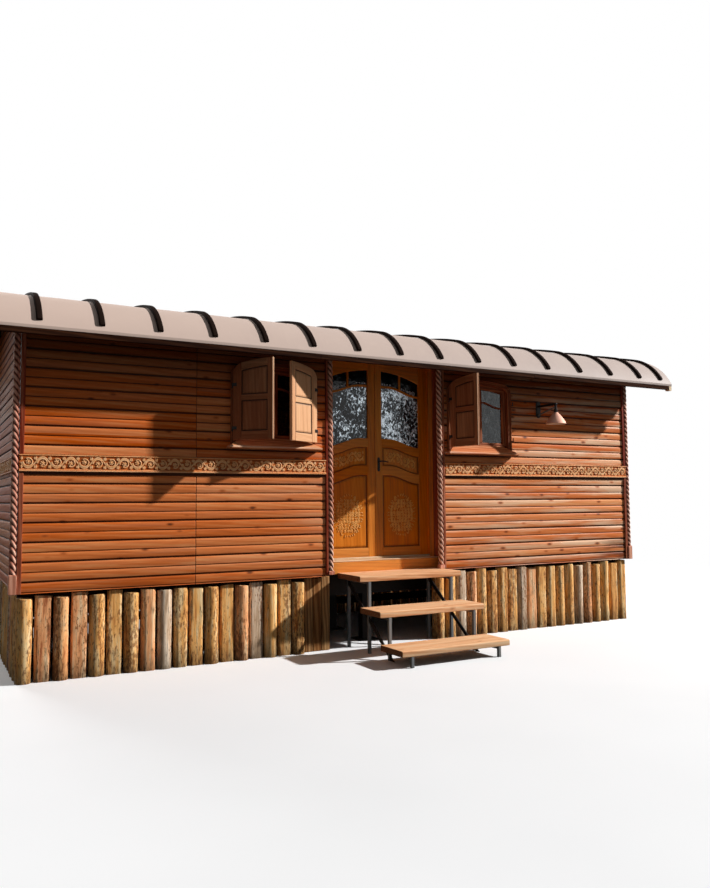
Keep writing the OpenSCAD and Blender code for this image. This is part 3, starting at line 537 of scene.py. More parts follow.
class Arch:
    """Three-centred arch: a crown of radius big between two shoulders of radius small, which it
    meets where it slopes by angle. The shoulders' centres are at (side, spring) and its mirror."""

    def __init__(self, side, spring, small, big, angle):
        self.side, self.spring, self.small, self.big, self.angle = side, spring, small, big, angle
        self.centre = spring - (big - small)*cos(angle)

    def point(self, angle, inset):
        """Place on the outline, shrunk by inset, where it slopes by angle."""
        if abs(angle) <= self.angle:
            return (self.big - inset)*sin(angle), self.centre + (self.big - inset)*cos(angle)
        r = self.small - inset
        return math.copysign(self.side + r*sin(abs(angle)), angle), self.spring + r*cos(angle)

    def height(self, x, inset):
        x = min(abs(x), self.side + self.small - inset)
        if x < (self.big - inset)*sin(self.angle):
            return self.centre + math.sqrt((self.big - inset)**2 - x**2)
        return self.spring + math.sqrt(max(0.0, (self.small - inset)**2 - (x - self.side)**2))

    def width(self, z, inset):
        """Half the width at height z, which stays the same below the spring."""
        if z < self.spring + (self.small - inset)*cos(self.angle):
            return self.side + math.sqrt((self.small - inset)**2 - max(0.0, z - self.spring)**2)
        return math.sqrt(max(0.0, (self.big - inset)**2 - (z - self.centre)**2))


SHOULDER_Y = HALF_SPAN - SHOULDER_R*sin(FOOT_A)
CROWN_R = SHOULDER_Y/sin(CROWN_A) + SHOULDER_R
ROOF = Arch(SHOULDER_Y, EAVE_Z - SHOULDER_R*cos(FOOT_A), SHOULDER_R, CROWN_R, CROWN_A)
HEAD_R = ((WIN_W/2)**2 + WIN_ARCH**2 - WIN_W*WIN_R)/(2*(WIN_ARCH - WIN_R))
HEAD_A = math.degrees(math.atan((WIN_W/2 - WIN_R)/(HEAD_R - WIN_ARCH)))
HEAD = Arch(WIN_W/2 - WIN_R, WIN_H - WIN_ARCH, WIN_R, HEAD_R, HEAD_A)


def roof_slopes(last=FOOT_A, steps=28):
    """Slopes of the roof from the front eave over the crown to the back one."""
    rising = between(-last, -CROWN_A, steps)
    return rising[:-1] + between(-CROWN_A, CROWN_A, steps) + [-a for a in rising[-2::-1]]


def roof_under(y, gap=0.002):
    """Height just under the roof boards at depth y."""
    return ROOF.height(y, UNDER_ROOF) - gap


def window_loop(inset, foot):
    """Closed outline of a window, counter-clockwise from its left foot at height foot."""
    half, steps = WIN_W/2 - inset, 9
    falling = between(90.0, HEAD_A, steps)
    angles = falling + between(HEAD_A, -HEAD_A, 2*steps)[1:-1] + [-a for a in falling[::-1]]
    return [(-half, foot), (half, foot)] + [HEAD.point(a, inset) for a in angles]


# Walls

BOARD_H, BOARD_T, BOARD_START, LINING_H, JOINT = 0.16, 0.045, 0.65, 0.11, 0.0015
OUTER_INSET, INNER_INSET = 0.03, 0.044
SWELL, TIP_EASE, TIP_SHADE = 0.0005, 0.0015, 0.7
# Height from a groove's middle, depth and painted shade; the edges that face up get a painted highlight,
# where the shade is below zero
LOWER_EDGE = ((0.0, 0.012, 1.0), (0.0035, 0.012, 1.0), (0.0085, 0.0035, 0.6), (0.014, 0.0008, 0.12),
              (0.04, 0.0, 0.0))
MIDDLE = ((-0.021, 0.0003, -0.2), (-0.014, 0.001, -1.0), (-0.0045, 0.0046, -1.0), (-0.0018, 0.0075, 1.0),
          (0.0018, 0.0075, 1.0), (0.0036, 0.0024, 0.5), (0.009, 0.0008, 0.1))
UPPER_EDGE = ((0.04, 0.0, 0.0), (0.024, 0.0004, -0.3), (0.015, 0.0016, -1.0), (0.0075, 0.0052, -1.0),
              (0.0035, 0.012, 1.0), (0.0, 0.012, 1.0))
BOARD = (*LOWER_EDGE, *((BOARD_H/2 + z, d, s) for z, d, s in MIDDLE),
         *((BOARD_H - z, d, s) for z, d, s in UPPER_EDGE))
LINING = ((0.0, 0.005, 1.0), (0.005, 0.0, 0.1), (LINING_H - 0.005, 0.0, 0.1), (LINING_H, 0.005, 1.0))


def course(shape, place, ends, z0, profile, low, high, seed, slot):
    """One board between two heights. ends gives its first and last place at a height."""
    first, last = ends

    def at(z):
        for (za, da, sa), (zb, db, sb) in zip(profile, profile[1:]):
            if za <= z - z0 <= zb:
                t = (z - z0 - za)/max(zb - za, 1e-9)
                return z, da + t*(db - da), sa + t*(sb - sa)
        return z, 0.0, 0.0
    line = [(z0 + z, d, s) for z, d, s in profile if low < z0 + z < high]
    if z0 < low:
        z, d, s = at(low)
        # A painted highlight along the wall's lowest edge, just over the deck
        line.insert(0, (z, d, -1.0 if low == DECK_Z else s))
    if z0 + profile[-1][0] > high:
        line.append(at(high))
    if len(line) < 2:
        return
    foot, head = line[0][0], line[-1][0]
    mid = (foot + head)/2
    cuts = max(2, round((last(mid) - first(mid))/0.2))
    loops, shades = [], []
    for t in [0.0, 0.002, 0.004] + between(0.0, 1.0, cuts)[1:-1] + [0.996, 0.998, 1.0]:
        tip = t in (0.0, 1.0)

        def along(z):
            return first(z) + (last(z) - first(z))*t
        loop = []
        for z, d, s in line:
            a = along(z)
            swell = SWELL*(1 + math.sin(a*5.3 + seed*40) + math.sin(a*2.1 + z*55 + seed*90))
            loop.append(place(a, d + swell + tip*TIP_EASE, z))
            shades.append(max(s, tip*TIP_SHADE))
        loops.append(loop + [place(along(z), BOARD_T, z) for z in (head, foot)])
        shades += [1.0, 1.0]
    shape.loft(loops, seed=seed, shade=shades, slot=slot)


def board_ends(start, stop, joints, windows, inset):
    """Ends of the boards along a wall: at its own ends, at joints and at windows."""
    edges = [(j, fixed(j - JOINT), fixed(j + JOINT)) for j in joints]
    for x in windows:
        edges.append((x, lambda z, x=x: x - HEAD.width(z - WIN_Z, inset),
                      lambda z, x=x: x + HEAD.width(z - WIN_Z, inset)))
    edges.sort(key=lambda edge: edge[0])
    return list(zip([start] + [edge[2] for edge in edges], [edge[1] for edge in edges] + [stop]))


def boarding(shape, place, start, stop, bottom, top, z_first, profile, joints, windows, inset, slot):
    """Courses of boards up a wall, cut round its windows."""
    seeds, marks, height = {}, [bottom, top], profile[-1][0]
    if windows:
        marks = [bottom, WIN_Z + inset, WIN_Z + WIN_H - inset, top]
    for band, (low, high) in enumerate(zip(marks, marks[1:])):
        holes = windows if band == 1 else ()
        row, z = 0, z_first
        while z < high:
            if z + height > low:
                lines = joints[row % len(joints)] if joints else ()
                for k, ends in enumerate(board_ends(start, stop, lines, holes, inset)):
                    seed = seeds.setdefault((row, bool(holes), k), rng.random())
                    if not holes:
                        seed = seeds.setdefault((row, 0), seed) + 0.14*k*(0.1 + 0.02*(row % 3))
                    course(shape, place, ends, z, profile, low, high, seed, slot)
            z += height
            row += 1


def wall(name, node, place, start, stop, top, joints=(), windows=()):
    """Outer boards and inner lining of one wall."""
    shape = Shape()
    boarding(shape, place, start, stop, DECK_Z, top, BOARD_START, BOARD, joints, windows, OUTER_INSET, 0)
    boarding(shape, lambda a, d, z: place(a, WALL_T - d, z), start, stop, FLOOR_Z, top, FLOOR_Z, LINING,
             (), windows, INNER_INSET, 1)
    grain = "y" if node.startswith("end") else "x"
    piece(name, shape, f"cladding_{grain} floor_{grain}", node)


def walls():
    top, ridge = roof_under(HALF_D), roof_under(0.0, 0.004)
    left, right = fixed(-HALF_L), fixed(HALF_L)
    front_joints, back_joints = ((-1.97,),), ((0.15,), (-0.3,), (0.15, 2.4), (-0.3, -2.6))

    def front(a, d, z):
        return a, -HALF_D + d, z

    def edge(z):
        return min(HALF_D - BOARD_T, ROOF.width(z, UNDER_ROOF))

    def far_edge(z):
        return -edge(z)
    wall("boards_front_left", "front_wall_left", front, left, fixed(RECESS_X0), top, front_joints,
         WIN_XS[:1])
    wall("boards_front_right", "front_wall_right", front, fixed(RECESS_X1), right, top, (), WIN_XS[1:])
    wall("boards_back", "back_wall", lambda a, d, z: (a, HALF_D - d, z), left, right, top, back_joints,
         WIN_XS)
    wall("boards_end_left", "end_wall_left", lambda a, d, z: (-HALF_L + d, a, z), far_edge, edge, ridge)
    wall("boards_end_right", "end_wall_right", lambda a, d, z: (HALF_L - d, a, z), far_edge, edge, ridge)


def floor_deck():
    shape, slab_top, board_w, gap = Shape(), FLOOR_Z - 0.024, 0.12, 0.001
    inner_l, inner_d = HALF_L - WALL_T, HALF_D - WALL_T
    for x0, x1, y0, y1 in ((-inner_l, RECESS_X0, -inner_d, JAMB_Y1), (RECESS_X1, inner_l, -inner_d, JAMB_Y1),
                           (-inner_l, inner_l, JAMB_Y1, inner_d)):
        shape.plank((x0, y0, DECK_Z), (x1, y1, slab_top), ease=0.002, slot=1)
        for ya, yb in slices(y0, y1, max(1, round((y1 - y0)/board_w))):
            shape.plank((x0, ya + gap, slab_top), (x1, yb - gap, FLOOR_Z))
    piece("floor_boards", shape, "floor_x roof_x", "floor_deck")


# Recess, trims and columns

def recess():
    """Side walls, ceiling and the wall over the doors."""
    cheek_t, soffit_z, lintel_z, gap = 0.045, HEADER_Z + 0.02, 3.08, 0.001
    cheeks, header, lintel = Shape(), Shape(), Shape()
    for x in (RECESS_X0 - cheek_t, RECESS_X1):
        for ya, yb in slices(-HALF_D + WALL_T, JAMB_Y1, 2):
            cheeks.plank((x, ya + gap/2, FLOOR_Z), (x + cheek_t, yb - gap/2, roof_under(ya)), axis=2)
    piece("recess_sides", cheeks, "trim_z", "recess_cheeks")
    for y0, y1 in slices(-HALF_D, JAMB_Y0, 3):
        header.plank((RECESS_X0, y0, HEADER_Z), (RECESS_X1, y1 - gap, soffit_z))
    header.plank((RECESS_X0, -HALF_D, soffit_z), (RECESS_X1, -HALF_D + WALL_T, roof_under(HALF_D)))
    piece("recess_ceiling", header, "trim_x", "recess_header")
    for z0, z1 in ((HEAD_Z + JAMB_W, lintel_z), (lintel_z + gap, roof_under(JAMB_Y0, 0.003))):
        lintel.plank((RECESS_X0, JAMB_Y0, z0), (RECESS_X1, JAMB_Y1, z1))
    piece("lintel_boards", lintel, "trim_x", "door_lintel")


def trims():
    corners, sides = Shape(), Shape()
    corner_w, edge_w, t = 0.036, 0.026, 0.014
    for sx in (-1, 1):
        for sy in (-1, 1):
            for z in ((DECK_Z, FRIEZE_Z - 0.02), (FRIEZE_Z + FRIEZE_H, roof_under(HALF_D + t))):
                corners.bar((sx*HALF_L, sx*(HALF_L - corner_w)), (sy*HALF_D, sy*(HALF_D + t)), z,
                            axis=2, ease=0.004)
    piece("corner_trims", corners, "trim_z", "corner_posts")
    for x in (RECESS_X0, RECESS_X1 - edge_w):
        sides.bar((x, x + edge_w), (-HALF_D - t, -HALF_D + WALL_T), (TREAD_Z + 0.004, HEADER_Z),
                  axis=2, ease=0.004)
    piece("recess_edge_trims", sides, "trim_z", "recess_trims")


def strand_radius(angle):
    """Distance of a rope-like column's surface from its axis, by the angle round it."""
    offset, r = 0.012, COLUMN_R - 0.012
    turn = (angle % (360/STRANDS)) - 180/STRANDS
    return offset*cos(turn) + math.sqrt(r*r - (offset*sin(turn))**2)


def column(shape, x, y, z0, z1, plinth_h):
    """Three strands twisted round each other on a square plinth."""
    foot, half, ring_pitch, valley = z0 + plinth_h, PLINTH/2, 0.009, strand_radius(0.0)
    outline = [(a, strand_radius(a)) for a in between(0.0, 360.0, 12*STRANDS)[:-1]]
    loops = []
    for z in between(foot, z1, math.ceil((z1 - foot)/ring_pitch)):
        turn = -360*(z - foot)/TWIST_LEAD
        loops.append([(x + r*cos(a + turn), y + r*sin(a + turn), z) for a, r in outline])
    # Painted shade in the valleys between the strands and a painted highlight, below zero, on their crests
    shades = [1.0 - 2.0*((r - valley)/(COLUMN_R - valley))**1.5 for a, r in outline]
    shape.loft(loops, shade=shades*len(loops))
    shape.plank((x - half, y - half, z0), (x + half, y + half, foot - 0.008), axis=2)
    shape.loft([[(x + i*(half - e), y + j*(half - e), z) for i, j in ((-1, -1), (1, -1), (1, 1), (-1, 1))]
                for e, z in ((0.001, foot - 0.009), (0.001, foot - 0.007), (0.006, foot))])


def columns():
    inner, outer, low_plinth, high_plinth = Shape(), Shape(), 0.04, 0.16
    off = 0.026 + PLINTH/2 + TOUCH
    for x in (RECESS_X0 + off, RECESS_X1 - off):
        column(inner, x, -HALF_D + COLUMN_IN, TREAD_Z + TOUCH, HEADER_Z - TOUCH, low_plinth)
    piece("twisted_columns_recess", inner, "column_z", "recess_columns", crease=60.0)
    top = roof_under(HALF_D - COLUMN_IN + COLUMN_R, 0.001)
    for sx in (-1, 1):
        for sy in (-1, 1):
            column(outer, sx*(HALF_L + PLINTH/2 + TOUCH), sy*(HALF_D - COLUMN_IN), DECK_Z, top, high_plinth)
    piece("twisted_columns_corner", outer, "column_z", "corner_columns", crease=60.0)


# Carving

CARVING_SEED = 0.37
# Across a carved strip: offset, height and shade; painted shade at its foot and a painted highlight, below
# zero, on its crest
DOME = ((-0.5, 0.0, 0.7), (-0.38, 0.76, 0.05), (0.0, 1.0, -0.4), (0.38, 0.76, 0.05), (0.5, 0.0, 0.7))


def ribbon(shape, place, path, widths, height, slot=0):
    """Rounded strip along a path of (a, z). place(a, z, out) gives its points."""
    loops = []
    for (a, z), (a0, z0), (a1, z1), w in zip(path, path[:1] + path, path[1:] + path[-1:], widths):
        run = math.hypot(a1 - a0, z1 - z0) or 1.0
        na, nz = -(z1 - z0)/run, (a1 - a0)/run
        loops.append([place(a + na*w*o, z + nz*w*o, height*h) for o, h, s in DOME])
    shape.loft(loops, shade=[s for o, h, s in DOME]*len(path), slot=slot, seed=CARVING_SEED)


def leaf(shape, place, a, z, angle, length, width, height, bend, slot):
    """Pointed leaf that curls by bend degrees."""
    path, widths, steps = [], [], 5
    for t in between(0.0, 1.0, steps):
        path.append((a, z))
        widths.append(width*(0.15 + math.sin(math.pi*(0.08 + 0.88*t))**1.2))
        a += length/steps*cos(angle + bend*t)
        z += length/steps*sin(angle + bend*t)
    ribbon(shape, place, path, widths, height, slot)


def flower(shape, place, a, z, radius, height, turn, slot):
    """Open flower with six rounded petals round a button."""
    def at(reach, angle):
        return a + radius*reach*cos(angle), z + radius*reach*sin(angle)
    for k in range(6):
        ribbon(shape, place, [at(q, turn + 60*k) for q in (0.22, 0.45, 0.7, 0.9, 1.0)],
               [radius*q for q in (0.2, 0.55, 0.78, 0.6, 0.2)], height*0.8, slot)
    button = ((0.34, 0.0), (0.33, 0.75), (0.2, 1.1), (0.05, 1.2))
    shape.loft([[place(*at(r, 45*i), height*h) for i in range(8)] for r, h in button],
               slot=slot, seed=CARVING_SEED)


def vine(shape, place, length, half, height, slot=0, cell=0.11, stroke=0.34):
    """Scrolls round flowers, alternately above and below a wavy stem, with leaves in the corners."""
    cells = max(2, round(length/cell))
    step = length/cells
    broad, reach, shrink = half*stroke, 0.76, 0.26
    for k in range(cells):
        side, a0 = (1 if k % 2 else -1), k*step
        stem = [(a0 + step*t, side*half*0.84*math.sin(math.pi*t)) for t in between(0.0, 1.0, 8)]
        ribbon(shape, place, stem, [broad*0.8]*len(stem), height*0.8, slot)
        middle, low = a0 + step*0.5, -side*half*0.1
        squeeze = min(1.0, step*0.48/half/reach)
        curl, widths = [], []
        for t in between(0.0, 1.0, 16):
            r, turn = half*(reach - shrink*t), 180 + 300*t
            curl.append((middle + squeeze*r*cos(turn), low - side*r*sin(turn)))
            widths.append(broad*(1 - 0.35*t))
        ribbon(shape, place, curl, widths, height, slot)
        flower(shape, place, middle, low, half*0.38, height, 15*side, slot)
        for up in (-1, 1):
            for t, z, angle, length, width, bend in ((0.04, 0.36, 80, 0.56, 1.0, 25),
                                                     (0.96, 0.4, 100, 0.5, 0.8, -25)):
                leaf(shape, place, a0 + step*t, up*half*z, up*angle, half*length, broad*width, height*0.85,
                     up*bend, slot)


def frieze_run(shape, place, start, stop, ledge=True):
    """Carved board between plain margins, over a thin ledge with a painted highlight and a thin dark strip of
    painted shadow under it. place(a, z, out).
    """
    margin, ground, end, vine_h = 0.01, 0.012, 0.012, 0.0085
    ledge_foot, ledge_top, shadow_foot, shadow_top = 0.009, 0.001, 0.034, 0.0095
    z0, z1 = FRIEZE_Z, FRIEZE_Z + FRIEZE_H
    cuts = between(start, stop, max(2, round((stop - start)/0.5)))

    def strip(low, high, out, ease, slot=0, shade=0.0):
        ring = ((low, 0.0), (low, out - ease), (low + ease, out),
                (high - ease, out), (high, out - ease), (high, 0.0))
        shape.loft([[place(a, z, o) for z, o in ring] for a in cuts], slot=slot, seed=0.6, shade=shade)
    strip(z0 + margin/2, z1 - margin/2, ground, 0.002, slot=1)
    strip(z0, z0 + margin, FRIEZE_T, 0.004)
    strip(z1 - margin, z1, FRIEZE_T, 0.004)
    if ledge:
        # The ledge carries a painted highlight, and the thin dark strip under it is painted shadow
        strip(z0 - ledge_foot, z0 - ledge_top, LEDGE_OUT - 0.008, 0.003, shade=-0.6)
        strip(z0 - shadow_foot, z0 - shadow_top, 0.0015, 0.0005, slot=1, shade=1.0)
    vine(shape, lambda a, z, out: place(start + end + a, (z0 + z1)/2 + z, ground - 0.0005 + out),
         stop - start - 2*end, FRIEZE_H/2 - margin - 0.001, vine_h)


def frieze():
    front, rear, ends = Shape(), Shape(), Shape()
    reach = HALF_D - COLUMN_IN - PLINTH/2 - 0.005
    for start, stop in ((-HALF_L, RECESS_X0), (RECESS_X1, HALF_L)):
        frieze_run(front, lambda a, z, out: (a, -HALF_D - out, z), start, stop)
    piece("carved_band_front", front, "relief_x ground_x", "frieze_boards")
    frieze_run(rear, lambda a, z, out: (a, HALF_D + out, z), -HALF_L, HALF_L)
    piece("carved_band_back", rear, "relief_x ground_x")
    for side in (-1, 1):
        frieze_run(ends, lambda a, z, out: (side*(HALF_L + out), a, z), -reach, reach, ledge=False)
    piece("carved_band_ends", ends, "relief_x ground_x")


# Doors

# Materials of a joined leaf, by the run of their grain
ACROSS, UPRIGHT, CARVED, STEEL = range(4)


def ease_step(t):
    """Smooth step from 0 to 1 as t goes from 0 to 1."""
    return (1 - math.cos(math.pi*min(1.0, max(0.0, t))))/2


def rail_line(z):
    """Double-curved line of a door, at height z by the meeting edge, over the distance u from there."""
    return lambda u: z - RAIL_DROP*ease_step((u/LEAF_W - 0.25)/0.6)


def glass_arch(u):
    return LEAF_H - HEAD_RAIL - ARCH_R + math.sqrt(ARCH_R**2 - (u + LEAF_GAP)**2)


def leaf_place(side):
    """Place on a leaf: u from its meeting edge, y into the hut, z from its foot."""
    return lambda u, y, z: (DOOR_X + side*(u + LEAF_GAP), LEAF_Y + y, LEAF_Z + z)


def region(u0, u1, low, high, inset, lift):
    """Closed outline between two heights given as functions of u, shrunk by inset and lift."""
    places = [u0 + inset + (u1 - u0 - 2*inset)*ease_step(t) for t in between(0.0, 1.0, REGION_STEPS)]
    return [(u, low(u) + lift) for u in places] + [(u, high(u) - lift) for u in places[::-1]]


def stacked(shape, place, sides, rows, **kw):
    """Skin over a region that is shrunk and moved by rows of (inset, lift, y)."""
    shape.loft([[place(u, y, z) for u, z in region(*sides, inset, lift)] for inset, lift, y in rows], **kw)


def shaped_board(shape, place, u0, u1, low, high, y0, y1, ease=0.003, **kw):
    """Board between two curves, with eased front and back edges."""
    stacked(shape, place, (u0, u1, low, high),
            ((ease, ease, y0), (0.0, 0.0, y0 + ease), (0.0, 0.0, y1 - ease), (ease, ease, y1)), **kw)


def raised_panel(shape, place, sides, y_mid, sink, field, margin, rise):
    """Panel with a raised field: sink and field are the distances of its edge and its field
    from the panel's middle plane."""
    # The last value of each row is painted shade, darkest in the sunk edge round the field
    rows = [(0.0, 0.0, sink, 1.0), (0.004, 0.004, sink, 1.0), (margin*0.36, rise*0.36, sink, 0.85),
            (margin*0.5, rise*0.5, sink + 0.0015, 0.25), (margin, rise, field, 0.0)]
    both = [(inset, lift, y_mid - out) for inset, lift, out, dark in rows[::-1]]
    both += [(inset, lift, y_mid + out) for inset, lift, out, dark in rows]
    shades = [row[3] for row in rows[::-1] + rows for _ in range(2*REGION_STEPS + 2)]
    stacked(shape, place, sides, both, slot=UPRIGHT, shade=shades)


def door_leaf(side):
    """One leaf: stiles, curved rails, two raised panels on each face, glazing bars and carving."""
    label = "left" if side < 0 else "right"
    shape, place, mid = Shape(), leaf_place(side), LEAF_T/2
    sole, foot, head, carved_line = fixed(0.0), fixed(0.104), fixed(LEAF_H), rail_line(1.0585)
    lower_rail = rail_line(0.864), rail_line(0.962)
    upper_rail = rail_line(1.155), rail_line(1.247)
    vine_end, vine_half = 0.045, 0.06

    def outer(u, z, out):
        return place(u, 0.005 - out, z)

    def between_rails(a, z, out):
        u = PANEL_U0 + vine_end + a
        return outer(u, carved_line(u) + z, out)
    for u0, u1 in ((0.0, MEET_STILE), (PANEL_U1, LEAF_W)):
        shaped_board(shape, place, u0, u1, sole, head, 0.0, LEAF_T, slot=UPRIGHT)
    shaped_board(shape, place, MEET_STILE, PANEL_U0, fixed(0.1), fixed(1.2), 0.002, LEAF_T - 0.002,
                 slot=UPRIGHT)
    for low, high in ((sole, foot), lower_rail, upper_rail, (glass_arch, head)):
        shaped_board(shape, place, MEET_STILE, PANEL_U1, low, high, 0.0, LEAF_T, slot=ACROSS)
    for low, high, rise in ((foot, lower_rail[0], 0.034), (lower_rail[1], upper_rail[0], 0.024)):
        sides = PANEL_U0, PANEL_U1, low, high
        raised_panel(shape, place, sides, mid, mid - 0.012, mid - 0.005, 0.034, rise)
        # The beads round each panel carry painted shade
        for y0, y1 in ((0.003, 0.011), (LEAF_T - 0.011, LEAF_T - 0.003)):
            stacked(shape, place, sides, ((0.0, 0.0, y0), (0.002, 0.002, y0 + 0.001), (0.008, 0.008, y1),
                                          (0.0, 0.0, y1)), closed=True, slot=UPRIGHT, shade=0.55)
    glazing_bars(shape, place)
    vine(shape, between_rails, PANEL_U1 - PANEL_U0 - 2*vine_end, vine_half, 0.0065, CARVED, 0.1, 0.3)
    bouquet(shape, outer, (PANEL_U0 + PANEL_U1)/2, 0.44, 0.165, 0.215, CARVED)
    for z in (0.16, LEAF_H/2, LEAF_H - 0.16):
        leaf_hinge(shape, place, z)
    piece(f"door_{label}", shape, "door_x door_z door_relief_z dark_steel", f"door_leaf_{label}",
          f"door_{label}")


def glazing_bars(shape, place):
    """Curved bar over the pane and one short bar above it."""
    half, middle, faces = 0.011, (MEET_STILE + PANEL_U1)/2, (0.006, LEAF_T - 0.006)
    low, high = rail_line(GLASS_BAR_Z - half), rail_line(GLASS_BAR_Z + half)
    shaped_board(shape, place, MEET_STILE, PANEL_U1, low, high, *faces, slot=ACROSS)
    shaped_board(shape, place, middle - half, middle + half, high, glass_arch, *faces, slot=UPRIGHT)


def bouquet(shape, place, u0, z0, half_w, half_h, slot):
    """Oval spray of small flowers and leaves, with short leaves round its edge."""
    pitch, fill, height, stray, draw = 0.036, 0.88, 0.005, 0.005, random.Random(5)
    rise, rim, rim_leaves = pitch*0.88, 0.93, 38
    rows = math.floor(half_h*fill/rise)
    for j in range(-rows, rows + 1):
        z = j*rise
        reach = fill*half_w*math.sqrt(1 - (z/half_h)**2)
        count = max(1, round(2*reach/pitch))
        for i in range(count):
            u = u0 + (i - (count - 1)/2)*2*reach/count + draw.uniform(-stray, stray)
            w, turn = z0 + z + draw.uniform(-stray, stray), draw.uniform(0, 360)
            if draw.random() < 0.85:
                flower(shape, place, u, w, draw.uniform(0.016, 0.021), height, turn, slot)
            else:
                for k in range(3):
                    leaf(shape, place, u, w, turn + 120*k, 0.022, 0.011, height, 50, slot)
    for t in between(0.0, 360.0, rim_leaves)[:-1]:
        leaf(shape, place, u0 + rim*half_w*cos(t), z0 + rim*half_h*sin(t), t + draw.uniform(-40, 40),
             draw.uniform(0.02, 0.034), 0.013, height, draw.uniform(-40, 40), slot)


def pane_ornament(side):
    """Frosted scroll and dots on the pane, just over its curved bar."""
    label = "left" if side < 0 else "right"
    shape, bar, on_leaf, thin = Shape(), rail_line(GLASS_BAR_Z), leaf_place(side), 0.0008
    face, middle, foot, ring_w = LEAF_T/2 - 0.0028, (MEET_STILE + PANEL_U1)/2, 0.036, 0.0055

    def place(u, z, out):
        return on_leaf(u, face - out, bar(u) + z)

    def dash(u, z, length, end, broad):
        path = [(u + length*t, z) for t in (0.0, 0.3, 0.7, 1.0)]
        ribbon(shape, place, path, [end, broad, broad, end], thin)
    for inward, r in ((0.055, 0.02), (0.095, 0.015), (0.128, 0.011)):
        for radius in (r, r*0.45):
            ring = [(PANEL_U1 - inward + radius*cos(t), foot + radius*sin(t)) for t in between(0, 360, 18)]
            ribbon(shape, place, ring, [ring_w]*len(ring), thin)
    for u, length in ((0.018, 0.02), (0.05, 0.012), (0.078, 0.02), (0.115, 0.014)):
        dash(MEET_STILE + u, foot - 0.006, length, 0.006, 0.013)
    for u in (middle + 0.03, middle + 0.055):
        dash(u, foot, 0.012, 0.004, 0.011)
    piece(f"pane_ornament_{label}", shape, "frosted_glass", body=f"door_{label}")


def leaf_hinge(shape, place, z):
    """Eye and strap on the inner face, round the jamb's pin."""
    eye_h, reach, strap_t = 0.06, 0.005, 0.006
    shape.eye(*place(LEAF_W + reach, LEAF_T + 0.01, z), eye_h, slot=STEEL)
    shaped_board(shape, place, LEAF_W - 0.05, LEAF_W - 0.003, fixed(z), fixed(z + eye_h),
                 LEAF_T, LEAF_T + strap_t, ease=0.001, slot=STEEL)


def door_handle():
    """Long oval plates with keyhole and lever on both faces."""
    shape, place = Shape(), leaf_place(1)
    mid, low, high, r, lever_z, lever_out, lever_l = 0.041, 0.915, 1.035, 0.015, 1.005, 0.044, 0.096
    key_r, key_out = 0.0042, 0.0046
    for face, s in ((0.0, -1), (LEAF_T, 1)):
        shape.loft([[place(u, face + s*y, z) for u, z in capsule(mid, low, high, q, 12)]
                    for q, y in ((r, 0.0), (r, 0.0028), (r - 0.0012, 0.004))])
        for z in (0.938, 0.93):
            line = ((key_r, 0.0), (key_r, s*key_out), (key_r/2, s*(key_out + 0.0002)))
            shape.lathe(place(mid, face, z), line, around=16, axis=1, slot=1)
        neck = ((0.011, 0.0), (0.011, 0.007), (0.008, 0.009), (0.0075, 0.036), (0.009, 0.05), (0.003, 0.0502))
        shape.lathe(place(mid, face, lever_z), [(q, s*out) for q, out in neck], axis=1)
        loops = []
        for t in between(0.0, 1.0, 12):
            u, z = mid - 0.004 + lever_l*t, lever_z - 0.008*t*t + 0.004*math.sin(math.pi*t)
            w, d = 0.0075*(1 - 0.25*t), 0.0055*(1 - 0.2*t)
            loops.append([place(u, face + s*(lever_out + d*cos(30*i)), z + w*sin(30*i)) for i in range(12)])
        shape.loft(loops)
    piece("door_lever", shape, "dark_steel rib_paint", "door_handle", "door_right", crease=50.0)


def door_frame():
    jambs, head, threshold = Shape(), Shape(), Shape()
    stop, bead_w, bead_t, half = 0.014, 0.016, 0.01, RECESS_W/2
    stop_y, bar_z, ramp_y = LEAF_Y - 0.005, FLOOR_Z + 0.022, TREAD_BACK + TOUCH
    inner = (RECESS_X0 + JAMB_W, RECESS_X1 - JAMB_W)
    for side in (-1, 1):
        for u0, u1, y0, y1, z0, z1 in (
                (half - JAMB_W, half, JAMB_Y0, JAMB_Y1, FLOOR_Z, HEAD_Z),
                (half - JAMB_W - stop, half - JAMB_W, JAMB_Y0, stop_y, bar_z, HEAD_Z),
                (half - bead_w, half, JAMB_Y0 - bead_t, JAMB_Y0, FLOOR_Z, HEADER_Z - TOUCH)):
            jambs.bar((DOOR_X + side*u0, DOOR_X + side*u1), (y0, y1), (z0, z1), axis=2, slot=1)
    piece("door_jamb_boards", jambs, "door_x door_z", "door_jambs")
    head.plank((RECESS_X0, JAMB_Y0, HEAD_Z), (RECESS_X1, JAMB_Y1, HEAD_Z + JAMB_W))
    head.plank((inner[0] + stop, JAMB_Y0, HEAD_Z - stop), (inner[1] - stop, stop_y, HEAD_Z))
    piece("door_head_board", head, "door_x", "door_head")
    threshold.plank((RECESS_X0, ramp_y, DECK_Z), (RECESS_X1, JAMB_Y1, FLOOR_Z - 0.015), ease=0.004)
    threshold.plank((RECESS_X0, ramp_y, FLOOR_Z - 0.014), (RECESS_X1, JAMB_Y1, FLOOR_Z), ease=0.005, slot=1)
    for y, z0, z1 in ((JAMB_Y0, FLOOR_Z, FLOOR_Z + 0.011), (JAMB_Y0 + 0.003, FLOOR_Z + 0.012, bar_z)):
        threshold.bar(inner, (y, stop_y), (z0, z1), slot=1)
    piece("threshold_boards", threshold, "door_x pale_x", "threshold")


# Windows

def window_ring(shape, place, section):
    """Ring of one section, given as (inset, foot, y), round a window. Its foot and crown take
    the first material and its sides the second."""
    outline = window_loop(0.0, 0.0)
    sides = [ACROSS if abs(xb - xa) > abs(zb - za) else UPRIGHT
             for (xa, za), (xb, zb) in zip(outline, outline[1:] + outline[:1])]
    shape.loft([[place(x, y, z) for x, z in window_loop(inset, foot)] for inset, foot, y in section],
               closed=True, slots=sides)


